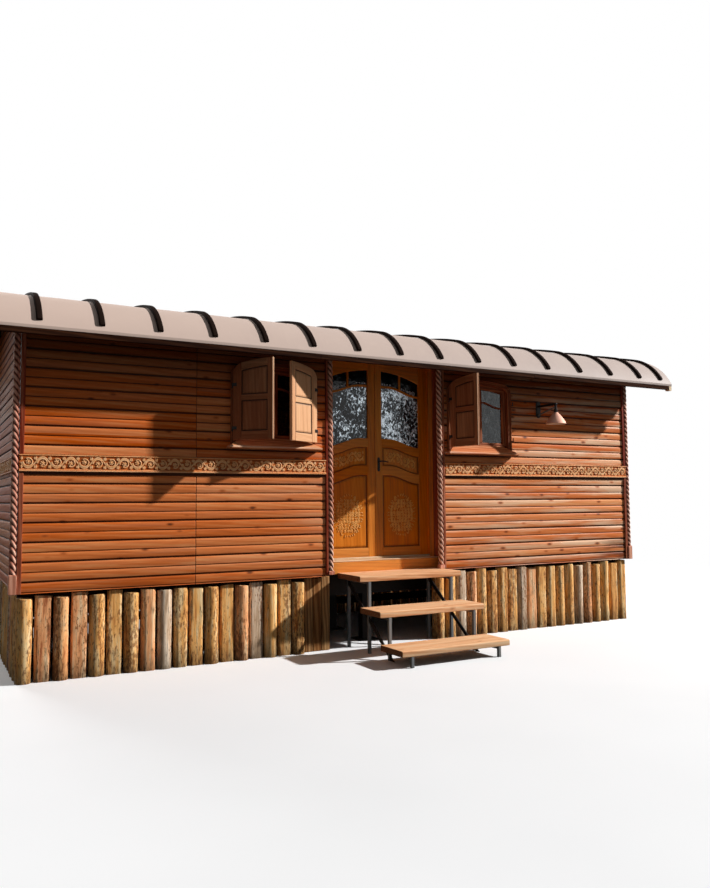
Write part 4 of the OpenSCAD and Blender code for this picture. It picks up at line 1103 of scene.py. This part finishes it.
def sill_top(x, y):
    """Height of the sloping sill at a place on a window, y being below zero outside."""
    low, slopes = -0.04, ((0.0, 0.05), (0.045, 0.003), (0.105, -0.04))
    hip = low + (SILL_HALF - abs(x))/SILL_HIP*0.09
    for (y0, z0), (y1, z1) in zip(slopes, slopes[1:]):
        if -y <= y1:
            return min(hip, z0 + (z1 - z0)*(-y - y0)/(y1 - y0))
    return low


def window_frame(shape, place):
    """Moulding outside, which stands on the sill, and the lining of the opening."""
    section = ((0.0, 0.0), (0.0, -0.036), (0.004, -0.04), (0.011, -0.04), (0.014, -0.037), (0.014, -0.031),
               (0.046, -0.031), (0.05, -0.027), (0.05, 0.0))
    outline = [window_loop(inset, inset)[2:] for inset, y in section]
    count, corner = len(outline[0]), 5

    def cut(i, stands=False):
        return [place(line[i][0], y, sill_top(line[i][0], y) + 0.0004 if stands else line[i][1])
                for (inset, y), line in zip(section, outline)]
    shape.loft([cut(0, True)] + [cut(i) for i in range(corner + 1)], slot=UPRIGHT)
    shape.loft([cut(i) for i in range(corner, count - corner)], slot=ACROSS)
    shape.loft([cut(i) for i in range(count - corner - 1, count)] + [cut(-1, True)], slot=UPRIGHT)
    window_ring(shape, place, [(inset, inset, y) for inset, y in ((WIN_FACE, 0.0), (WIN_FACE, WALL_T),
                                                                  (INNER_INSET, WALL_T), (INNER_INSET, 0.0))])


def windows():
    frames, casements, sills = Shape(), Shape(), Shape()
    rebate, profile = WIN_FACE + 0.0005, ((0.004, CASEMENT_T), (0.0, 0.036), (0.0, 0.02), (0.0, 0.012),
                                          (0.008, 0.004), (0.012, 0.001))
    section = [(rebate, rebate, 0.001), (rebate, rebate, CASEMENT_T)]
    section += [(PANE_IN - out, PANE_FOOT - out, y) for out, y in profile]
    for x0 in WIN_XS:
        for s in (1, -1):
            def place(x, y, z):
                return x0 + s*x, s*(y - HALF_D), WIN_Z + z
            window_frame(frames, place)
            window_ring(casements, place, section)
            casement_bars(casements, place)
            sill(sills, place)
    piece("window_frame_set", frames, "window_x window_z", "window_frames")
    piece("casement_set", casements, "window_x window_z", "window_casements")
    piece("window_sill_set", sills, "sill_x", "window_sills")


def casement_bars(shape, place):
    """Two meeting stiles, and a curved bar over each pane."""
    stile_w, bar_half, bar_z, drop, drop_from, drop_run = 0.045, 0.009, 0.525, 0.055, 0.06, 0.24
    for s in (-1, 1):
        def own(u, y, z):
            return place(s*u, y, z)

        def curve(offset):
            return lambda u: bar_z + offset - drop*ease_step((u - drop_from)/drop_run)
        shaped_board(shape, own, 0.002, stile_w, fixed(PANE_FOOT - 0.001),
                     lambda u: HEAD.height(u, PANE_IN - 0.001), 0.001, CASEMENT_T, slot=UPRIGHT)
        shaped_board(shape, own, stile_w, WIN_W/2 - PANE_IN, curve(-bar_half), curve(bar_half), 0.008, 0.034,
                     slot=ACROSS)


def sill(shape, place):
    """Sloping sill with hipped ends and a rounded nose, by rows of height, reach, hip and painted shade,
    which is below zero for a painted highlight on the nose.
    """
    rows = ((-0.068, 0.077, 0.003, 0.9), (-0.0665, 0.083, 0.0, 0.7), (-0.0555, 0.104, 0.0, 0.2),
            (-0.0535, 0.105, 0.0, 0.0), (-0.0425, 0.105, 0.0, -0.6), (-0.0385, 0.1025, 0.004, -0.9),
            (-0.034, 0.0966, 0.0104, 0.0), (0.003, 0.045, 0.0705, 0.0), (0.0485, 0.0015, 0.1449, 0.3))
    outline = ((-1, 0), (-1, 1), (0, 1), (1, 1), (1, 0))
    shape.loft([[place(x*(SILL_HALF - hip), -y*reach, z) for x, y in outline]
                for z, reach, hip, dark in rows], shade=[row[3] for row in rows for _ in outline])


def shutter(name, node, body, x, side, open_deg, skin="shutter"):
    """Leaf lying along X from its hinge, then turned open. Both faces have a low and an
    arched panel."""
    shape, half_t, head = Shape(), SHUTTER_T/2, 0.07
    u0, u1, hinge_stile, free_stile = SHUTTER_IN, SHUTTER_W, 0.084, 0.054
    near, far = u0 + hinge_stile, u1 - free_stile
    foot, low, high, arch = fixed(0.014), fixed(0.092), fixed(0.377), fixed(0.427)
    eye_h, strap_y, steel = 0.03, -half_t - 0.004, 2

    def place(u, y, z):
        return -side*u, y, z

    def top(u):
        return HEAD.height(WIN_W/2 - u, SHUTTER_IN)

    def field_top(u):
        return HEAD.height(WIN_W/2 - u, SHUTTER_IN + head)
    for left, right in ((u0, near), (far, u1 - 0.006)):
        shaped_board(shape, place, left, right, foot, top, -half_t, half_t, slot=UPRIGHT)
    # The strips on the free edge carry a painted highlight
    for y0, y1 in ((-half_t, -0.003), (0.003, half_t)):
        shaped_board(shape, place, u1 - 0.007, u1, foot, top, y0, y1, ease=0.002, slot=UPRIGHT, shade=-0.6)
    for under, over in ((foot, low), (high, arch), (field_top, top)):
        shaped_board(shape, place, near, far, under, over, -half_t, half_t, slot=ACROSS)
    for under, over in ((low, high), (arch, field_top)):
        raised_panel(shape, place, (near, far, under, over), 0.0, 0.006, 0.0105, 0.026, 0.026)
    for z in (0.11, 0.51):
        shape.eye(0.0, 0.0, z, eye_h, slot=steel)
        shaped_board(shape, place, 0.004, 0.05, fixed(z), fixed(z + eye_h), strap_y, -half_t,
                     ease=0.001, slot=steel)
        for u in (0.025, 0.04):
            screw = ((0.0042, 0.0), (0.0042, -0.001), (0.002, -0.0022), (0.0003, -0.0024))
            shape.lathe(place(u, strap_y, z + eye_h/2), screw, around=12, axis=1, slot=steel)
    hinge = Matrix.Translation((x + side*WIN_W/2, SHUTTER_Y, WIN_Z))
    piece(name, shape, f"{skin}_x {skin}_z dark_steel", node, body,
          hinge @ Matrix.Rotation(math.radians(side*open_deg), 4, "Z"))


# Lamp

def lamp():
    """Wall plate, arm, brace and ringed cap; the shade is a thin cone with a soft shoulder."""
    shape, shade, bulb = Shape(), Shape(), Shape()
    half_w, low, high, arm_z = 0.033, LAMP_Z - 0.057, LAMP_Z + 0.067, LAMP_Z + 0.04
    axis_y = -HALF_D - LAMP_OUT
    base = (LAMP_X, axis_y, LAMP_Z - 0.054)
    for rows in (((half_w, 0.0), (half_w, 0.007), (half_w - 0.004, 0.01)),
                 ((half_w - 0.008, 0.01), (half_w - 0.008, 0.012), (half_w - 0.011, 0.014))):
        shape.loft([[(x, -HALF_D - y, z) for x, z in capsule(LAMP_X, low, high, r, 14)] for r, y in rows])
    tube(shape, ((-HALF_D - 0.012, arm_z), (-HALF_D - 0.03, arm_z), (axis_y + 0.004, arm_z)), 0.0138)
    tube(shape, ((-HALF_D - 0.01, low), (axis_y + 0.016, LAMP_Z + 0.004)), 0.0095, slot=1)
    cap = ((0.0005, 0.0), (0.024, 0.0), (0.0243, 0.004), (0.024, 0.009), (0.017, 0.013), (0.017, 0.02),
           (0.0225, 0.024), (0.0235, 0.0275), (0.0225, 0.031), (0.014, 0.036), (0.0135, 0.06),
           (0.014, 0.084), (0.0185, 0.089), (0.019, 0.094), (0.018, 0.098), (0.008, 0.108), (0.0005, 0.11))
    shape.lathe(base, cap, around=28)
    piece("lamp_arm", shape, "dark_steel grey_steel", "lamp_bracket", crease=50.0)
    neck, rim_r, shade_h = 0.022, 0.114, 0.13

    def cone(inset, foot):
        line = [(neck + (rim_r - neck - inset)*(0.6*t + 0.4*sin(90*t)), -shade_h*t - inset*(1 - t))
                for t in between(0.0, 1.0, 24)]
        return [(0.002, -inset)] + line[:-1] + [(line[-1][0], foot - shade_h)]
    for slot, inset, foot in ((0, 0.0, 0.001), (1, 0.003, 0.0)):
        shade.lathe(base, cone(inset, foot), around=56, slot=slot)
    piece("lamp_shade_cone", shade, "copper_shade shade_inside", "lamp_shade", crease=50.0)
    bulb.lathe(base, ((0.0005, -0.003), (0.016, -0.003), (0.016, -0.04), (0.015, -0.046), (0.018, -0.056),
                      (0.026, -0.072), (0.029, -0.09), (0.026, -0.107), (0.016, -0.118), (0.0005, -0.121)))
    piece("lamp_bulb", bulb, "bulb_glass", crease=60.0)


def tube(shape, path, radius, **kw):
    """Round bar in the lamp's plane, along points of (y, z)."""
    points = [Vector((LAMP_X, y, z)) for y, z in path]
    around, loops = 14, []
    for p, before, after in zip(points, points[:1] + points, points[1:] + points[-1:]):
        run = (after - before).normalized()
        side = run.cross(Vector((1.0, 0.0, 0.0))).normalized()
        up = run.cross(side)
        loops.append([p + radius*(cos(360*k/around)*side + sin(360*k/around)*up) for k in range(around)])
    shape.loft(loops, **kw)


# Roof

def roof_boards():
    """Narrow boards along the roof, with open V joints below."""
    shape, angles, board_w = Shape(), roof_slopes(steps=84), 0.1
    path = [ROOF.point(a, SHEET_T) for a in angles]
    lengths = [0.0]
    for p, q in zip(path, path[1:]):
        lengths.append(lengths[-1] + math.dist(p, q))

    def angle_at(s):
        for i in range(1, len(lengths)):
            if lengths[i] >= s - 1e-9:
                t = (s - lengths[i - 1])/(lengths[i] - lengths[i - 1])
                return angles[i - 1] + t*(angles[i] - angles[i - 1])
        return angles[-1]
    vee, deep, xs = 0.0035, SHEET_T + BOARDS_T, between(-HALF_ROOF, HALF_ROOF, 8)
    for s0, s1 in slices(0.0, lengths[-1], round(lengths[-1]/board_w)):
        spots = ((s0, SHEET_T), (s0, deep - vee), (s0 + vee, deep), ((s0 + s1)/2, deep), (s1 - vee, deep),
                 (s1, deep - vee), (s1, SHEET_T), ((s0 + s1)/2, SHEET_T))
        ring = [ROOF.point(angle_at(s), inset) for s, inset in spots]
        # Painted shade in the V joints between the boards
        shape.loft([[(x, y, z) for y, z in ring] for x in xs],
                   shade=[0.0, 1.0, 0.25, 0.0, 0.25, 1.0, 0.0, 0.0]*len(xs))
    piece("roof_lining", shape, "roof_x", "roof_boards", crease=30.0)


def roof_sheet():
    """Thin sheet, a little uneven between the ribs, with turned-down lips."""
    shape, angles = Shape(), roof_slopes()
    lip, lip_z = HALF_SPAN - 0.001, EAVE_Z - 0.028
    turned = [(-lip, EAVE_Z), (-lip - 0.003, EAVE_Z - 0.004), (-lip - 0.003, lip_z + 0.004),
              (-lip - 0.0018, lip_z), (-lip, lip_z + 0.001), (-lip, EAVE_Z - 0.004)]

    def dent(x, a):
        return 0.0009*(math.sin(x*6.5 + a*0.13) + math.sin(x*13.1 - a*0.21))*cos(a*1.3)

    def section(x):
        top = [ROOF.point(a, max(0.0, dent(x, a) + 0.0005)) for a in angles]
        low = [ROOF.point(a, SHEET_T - 0.0003) for a in angles]
        return turned[:0:-1] + top + [(-y, z) for y, z in turned[:0:-1]] + low[::-1]
    shape.loft([[(x, y, z) for y, z in section(x)] for x in between(-HALF_ROOF, HALF_ROOF, 96)], seed=0.5)
    piece("roof_skin", shape, "roof_paint", "roof_sheet", crease=20.0)


def roof_ribs():
    """Battens over the sheet, rounded on top."""
    last_slope, each_side, w, end = 58.0, 7, RIB_W/2, 0.004
    shape, angles = Shape(), roof_slopes(last_slope)
    section = ((-w, -TOUCH), (-w, -0.018), (-w + 0.003, -0.023), (-w + 0.009, -RIB_H), (w - 0.009, -RIB_H),
               (w - 0.003, -0.023), (w, -0.018), (w, -TOUCH))
    for x in [-RIB_LAST, RIB_LAST] + [i*RIB_PITCH for i in range(-each_side, each_side + 1)]:
        shape.loft([[(x + dx, *ROOF.point(a, min(-TOUCH, inset + end*(a in (angles[0], angles[-1])))))
                     for dx, inset in section] for a in angles])
    piece("roof_battens", shape, "rib_paint", "roof_ribs", crease=50.0)


def fascia():
    planks, barge = Shape(), Shape()
    end, out, plank_t, gap = HALF_ROOF - 0.0443, HALF_SPAN - 0.0013, 0.026, 0.0008
    top, joints = EAVE_Z - UNDER_ROOF*cos(FOOT_A), (-0.9, 1.7)
    for s in (-1, 1):
        for x0, x1 in zip((-end, *joints), (*joints, end)):
            planks.bar((x0 + gap, x1 - gap), (s*(out - plank_t), s*out), (EAVE_Z - 0.076, top), ease=0.004)
    piece("fascia_planks", planks, "roof_x", "fascia_boards")
    thick, deep, ease, low_ease, foot_w, last_slope = 0.044, 0.09, 0.003, 0.004, 0.06, 58.3
    ring = ((ease, 0.0), (thick - ease, 0.0), (thick, ease), (thick, deep - low_ease),
            (thick - low_ease, deep), (low_ease, deep), (0.0, deep - low_ease), (0.0, ease))
    for x in (-HALF_ROOF, HALF_ROOF - thick):
        barge.loft([[(x + dx, *ROOF.point(a, UNDER_ROOF + inset)) for dx, inset in ring]
                    for a in roof_slopes(last_slope)], slot=1)
        for s in (-1, 1):
            barge.bar((x, x + thick), (s*(out - foot_w), s*out), (EAVE_Z - 0.084, top), axis=1)
    piece("barge_planks", barge, "pale_x roof_y", "barge_boards", crease=40.0)


# Skirt

def log(shape, x, y, r, top, seed, outward):
    """Peeled log with knots, a wandering outline and a sawn top that leans a little. Some are
    sawn flat on the side that faces outward."""
    draw = random.Random(round(seed*1e6))
    tip = 0.006
    knots = [(draw.uniform(0, 360), draw.uniform(0.08, top), draw.uniform(0.018, 0.03)) for _ in range(4)]
    lean, lean_dir = draw.uniform(0.0, 0.12), draw.uniform(0, 360)
    phase = [draw.uniform(0, 360) for _ in range(4)]
    flat = draw.choice((0.45, 0.62, 0.8, 1.0, 1.0))

    def bulge(a, z):
        """Share of the radius and shade at a place on the bark."""
        q = 0.975 + 0.028*sin(2*a + phase[0] + 90*z) + 0.016*sin(3*a + phase[1] - 160*z)
        q += 0.022*sin(z*400 + phase[2]) + 0.014*sin(5*a + phase[3] + 700*z)
        dark = 0.0
        for ka, kz, kr in knots:
            gap = math.hypot(math.radians((a - ka + 180) % 360 - 180)*r, z - kz)/kr
            q += 0.09*math.exp(-gap*gap*1.4)
            dark = max(dark, 0.8*math.exp(-gap*gap*2.2))
        return q, dark
    loops, shades, cores = [], [], []
    for z in between(0.0, top - tip, max(6, round(top/0.045))) + [top]:
        loop = []
        for a in range(0, 360, 18):
            q, dark = bulge(a, z)
            q = q*r - tip*(z == top)
            dx, dy = q*cos(a), q*sin(a)
            sawn = max(0.0, dx*outward[0] + dy*outward[1] - flat*r)
            dx, dy = dx - sawn*outward[0], dy - sawn*outward[1]
            tilt = min(0.004, lean*q*cos(a - lean_dir)*(z/top)**8)
            loop.append((x + dx, y + dy, z + tilt))
            cores.append((dx, dy, seed))
            shades.append(dark)
        loops.append(loop)
    shape.loft(loops, seed=seed, shade=shades, core=cores)
    shape.slots[-1] = 1


def skirt_row(shape, place, length, seed, under=0.0, planks=0):
    """Planks and logs from 0 to length, on two rails. place(a, y) gives a point in plan;
    the steps lie over the first part, as far as under. Sines of a log's number make it
    thinner and lower than its neighbours."""
    plank_w, plank_t, gap, rail_t, rail_y, inset = 0.092, 0.026, 0.003, 0.04, LOG_IN + 0.03, 0.02
    first = planks*plank_w
    count = math.floor((length - first)/LOG_PITCH + 1e-9)
    run = 0 if abs(place(1.0, 0.0)[0] - place(0.0, 0.0)[0]) > 0.5 else 1
    outward = [p - q for p, q in zip(place(0.0, 0.0), place(0.0, 1.0))]

    def board(a0, a1, y0, y1, z, axis, slot):
        shape.bar(*zip(place(a0, y0), place(a1, y1)), z, axis=axis, slot=slot, ease=0.004)
    for i in range(planks):
        board(i*plank_w + gap, (i + 1)*plank_w - gap, rail_y - plank_t, rail_y,
              (0.0, DECK_Z - 0.006 - 0.014*abs(sin(i*97))), 2, 2)
    for i in range(count):
        a, k = first + (i + 0.5)*(length - first)/count, i + seed
        r = LOG_PITCH/2 - 0.0005 - 0.005*abs(sin(k*137))
        top = DECK_Z - 0.008 - 0.034*abs(sin(k*83 + 20))
        if a - r < under + 0.006:
            top = min(top, TREAD_Z - TREAD_T - 0.006)
        log(shape, *place(a, LOG_IN), r, top, (i*0.137 + seed*0.311) % 1.0, outward)
    for start, z in ((inset, (0.12, 0.21)), (max(inset, under + 0.006), (DECK_Z - 0.09, DECK_Z - TOUCH))):
        board(start, length - inset, rail_y, rail_y + rail_t, z, run, 3)


def skirt():
    left, right, inner = DOOR_X - GAP_LEFT, DOOR_X + GAP_RIGHT, HALF_D - 0.17
    rows = (("front_left", ((lambda a, y: (left - a, -HALF_D + y), left + HALF_L, 3,
                             left - STEP_X + TREAD_W/2, 3),)),
            ("front_right", ((lambda a, y: (right + a, -HALF_D + y), HALF_L - right, 11,
                              STEP_X + TREAD_W/2 - right),)),
            ("ends", ((lambda a, y: (HALF_L - y, -inner + a), 2*inner, 5),
                      (lambda a, y: (-HALF_L + y, inner - a), 2*inner, 9))),
            ("back", ((lambda a, y: (HALF_L - a, HALF_D - y), 2*HALF_L, 2),)))
    for name, parts in rows:
        shape = Shape()
        for part in parts:
            skirt_row(shape, *part)
        piece(f"logs_{name}", shape, "log_side end_grain plank_z roof_x", f"skirt_{name}", crease=50.0)


# Steps

def tread_y(i):
    """Front edge of a tread, counted down from the top one, which is 0."""
    return TREAD_FRONT - i*TREAD_GOING


def tread_z(i):
    return TREAD_Z - i*TREAD_RISE


def steps():
    shape = Shape()
    for i in range(3):
        worn_board(shape, tread_y(i), tread_y(i - 1) - 0.001 if i else TREAD_BACK, tread_z(i), i)
    piece("tread_boards", shape, "tread_x", "step_treads", crease=50.0)


def worn_board(shape, y0, y1, z1, seed):
    """Tread whose front edge is worn round and whose top is trodden a little hollow; its ends carry painted
    shade.
    """
    loops, shades = [], []
    x0, x1, z0, front_r, r = STEP_X - TREAD_W/2, STEP_X + TREAD_W/2, z1 - TREAD_T, 0.012, 0.004
    for x in [x0, x0 + r] + between(x0, x1, 24)[1:-1] + [x1 - r, x1]:
        tip = 0.0025*(x in (x0, x1))
        wear = 0.0025*abs(math.sin(x*9 + seed)) + 0.0015*abs(math.sin(x*23 + seed*2))
        hollow = 0.003*math.exp(-((x - STEP_X)/0.3)**2)
        nose = front_r + wear
        ring = [(y0 + tip + r, z0 + tip), (y0 + tip, z0 + 0.006), (y0 + tip + 0.001*wear, z1 - nose)]
        ring += [(y0 + tip + nose*(1 - cos(t)), z1 - tip - nose*(1 - sin(t))) for t in (25, 50, 72, 90)]
        ring += [(y0 + (y1 - y0)*q, z1 - tip - hollow*math.sin(math.pi*q)) for q in (0.25, 0.5, 0.75)]
        ring += [(y1 - tip - r, z1 - tip), (y1 - tip, z1 - r), (y1 - tip, z0 + r), (y1 - tip - r, z0 + tip)]
        loops.append([(x, y, z) for y, z in ring])
        # Painted shade on the tread's ends
        shades += [0.85 if tip else 0.0]*len(ring)
    shape.loft(loops, shade=shades, seed=0.21 + 0.29*seed)


def step_frame():
    """Square legs, a bearer under every tread and a dark sloping bar at each side."""
    shape, half, flat, depth, bearer, inset = Shape(), 0.015, 0.01, 0.056, 0.026, 0.11
    clear, thin = 0.005, 0.001
    legs = [tread_y(i) + half + clear for i in range(3)]
    under = [tread_z(i) - TREAD_T - TOUCH for i in range(3)]
    back_y, foot_y = TREAD_BACK - 2*half, legs[1] - 0.09
    outline = ((foot_y, 0.0), (foot_y + depth, 0.0), (back_y, under[0] - depth), (back_y, under[0]))
    for x in (max(STEP_X - TREAD_W/2 + inset, DOOR_X - GAP_LEFT + half + clear),
              min(STEP_X + TREAD_W/2 - inset, DOOR_X + GAP_RIGHT - half - clear)):
        for y, top, rear in ((back_y, under[0], None), *zip(legs, under, [back_y] + legs)):
            shape.bar((x - half, x + half), (y - half, y + half), (0.0, top), axis=2)
            if rear is not None:
                shape.bar((x - half + thin, x + half - thin), (y, rear), (top - bearer, top - 0.0002), axis=1)
        shape.loft([[(x + dx, y, z) for y, z in outline] for dx in (-flat/2 - 0.009, flat/2 - 0.009)], slot=1)
        for y, z in ((foot_y + 0.05, 0.045), (back_y - 0.03, under[0] - 0.05)):
            nut = ((0.011, 0.0), (0.011, -0.005), (0.007, -0.007), (0.0005, -0.0072))
            shape.lathe((x - 0.013, y, z), nut, around=6, axis=0, slot=1)
    piece("step_supports", shape, "grey_steel dark_steel", "step_frame")


# Stage

F_PIXELS, FRAME_LONG, SENSOR = 789.326, 888.0, 36.0
CAMERA_AT, YAW, PITCH, ROLL = (-4.136, -8.125, 1.454), 28.752, 4.0978, -0.4206
FLOOR_REACH, FADE_FROM, FADE_TO = 60.0, 5.0, 11.0
WHITE, SKY, FLOOR_LIT = (1.0, 1.0, 1.0, 1.0), (0.9, 0.95, 1.0, 1.0), (0.08, 0.08, 0.08, 1.0)


def camera():
    data = bpy.data.cameras.new("camera")
    data.sensor_width = SENSOR
    data.lens = SENSOR*F_PIXELS/FRAME_LONG
    made = place_object("camera", data)
    ahead = Vector((sin(YAW)*cos(PITCH), cos(YAW)*cos(PITCH), sin(PITCH)))
    level = Vector((cos(YAW), -sin(YAW), 0.0))
    right = level*cos(ROLL) + level.cross(ahead)*sin(ROLL)
    top = right.cross(ahead)
    made.matrix_world = Matrix.Translation(CAMERA_AT) @ Matrix((right, top, -ahead)).transposed().to_4x4()
    bpy.context.scene.camera = made


def lamp_light(name, at, aim, power, size):
    data = bpy.data.lights.new(name, "AREA")
    data.energy, data.size = power, size
    made = place_object(name, data)
    made.location = at
    made.rotation_euler = (Vector(aim) - Vector(at)).to_track_quat("-Z", "Y").to_euler()


def backdrop_world():
    """Soft sky light; camera, mirror and glass rays see plain white."""
    world = bpy.data.worlds.new("studio")
    bpy.context.scene.world = world
    sky = Nodes(world)
    rays = sky.node("LightPath").socket.node.outputs
    seen = Wire(sky, rays["Is Camera Ray"])
    for label in ("Is Glossy Ray", "Is Transmission Ray"):
        seen = sky.node("Math", {"operation": "ADD", "use_clamp": True}, seen, Wire(sky, rays[label]))
    dim = sky.node("Background", Color=SKY, Strength=0.1)
    plain = sky.node("Background", Color=WHITE, Strength=1.0)
    sky.end("World", sky.node("MixShader", None, seen, dim, plain))


def floor():
    """Pale floor that fades to the white of the backdrop away from the hut."""
    mesh, r = bpy.data.meshes.new("floor"), FLOOR_REACH
    mesh.from_pydata([(-r, -r, 0), (r, -r, 0), (r, r, 0), (-r, r, 0)], [], [(0, 1, 2, 3)])
    made = place_object("floor", mesh)
    look = Look("studio_floor")
    seen = look.node("LightPath", out="Is Camera Ray")
    pale = look.noise(look.place(), 0.7, 2.0).ramp((0.3, (0.94, 0.94, 0.94, 1)), (0.7, (0.97, 0.97, 0.97, 1)))
    look.finish(look.mix(seen, FLOOR_LIT, pale), 0.9, Specular_IOR_Level=0.1)
    far = look.vector("LENGTH", look.place(), out="Value").span(FADE_FROM, FADE_TO)
    white = look.node("Emission", Color=WHITE, Strength=1.0)
    mixed = look.node("MixShader", None, far*seen, Wire(look, look.shader.outputs[0]), white)
    look.put(look.tree.nodes["Material Output"].inputs["Surface"], mixed)
    mesh.materials.append(look.material)


def stage():
    lamp_light("key", at=(38.5, -16.8, 25.4), aim=(0.0, -1.2, 1.6), power=37500.0, size=1.2)
    lamp_light("fill", at=(-10.0, -12.0, 5.0), aim=(0.0, 0.0, 1.5), power=20.0, size=9.0)
    lamp_light("rear", at=(-6.0, 13.0, 10.0), aim=(0.0, 0.0, 1.8), power=1100.0, size=6.0)
    backdrop_world()
    floor()
    bpy.context.scene.view_settings.view_transform = "Standard"


def dress(nodes, look):
    """Gives CAD nodes their material."""
    for node in nodes.split():
        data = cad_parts[node].data
        data.materials.clear()
        data.materials.append(M[look])


looks()
camera()
stage()
walls()
floor_deck()
recess()
trims()
columns()
frieze()
for leaf_side in (-1, 1):
    door_leaf(leaf_side)
    pane_ornament(leaf_side)
door_handle()
door_frame()
windows()
shutter("shutter_far_left", "shutter_left_outer", "shutter_a", WIN_XS[0], -1, 49.0)
shutter("shutter_near_door", "shutter_left_inner", "shutter_b", WIN_XS[0], 1, 29.0, "shutter_painted_sunlit")
shutter("shutter_right_of_door", "shutter_right_inner", "shutter_c", WIN_XS[1], -1, 81.0)
lamp()
roof_boards()
roof_sheet()
roof_ribs()
fascia()
skirt()
steps()
step_frame()
dress("support_posts chassis_beams door_hinge_pins shutter_pintles", "dark_steel")
dress("window_glass", "pane")
dress("door_glass_left door_glass_right", "rippled_pane")
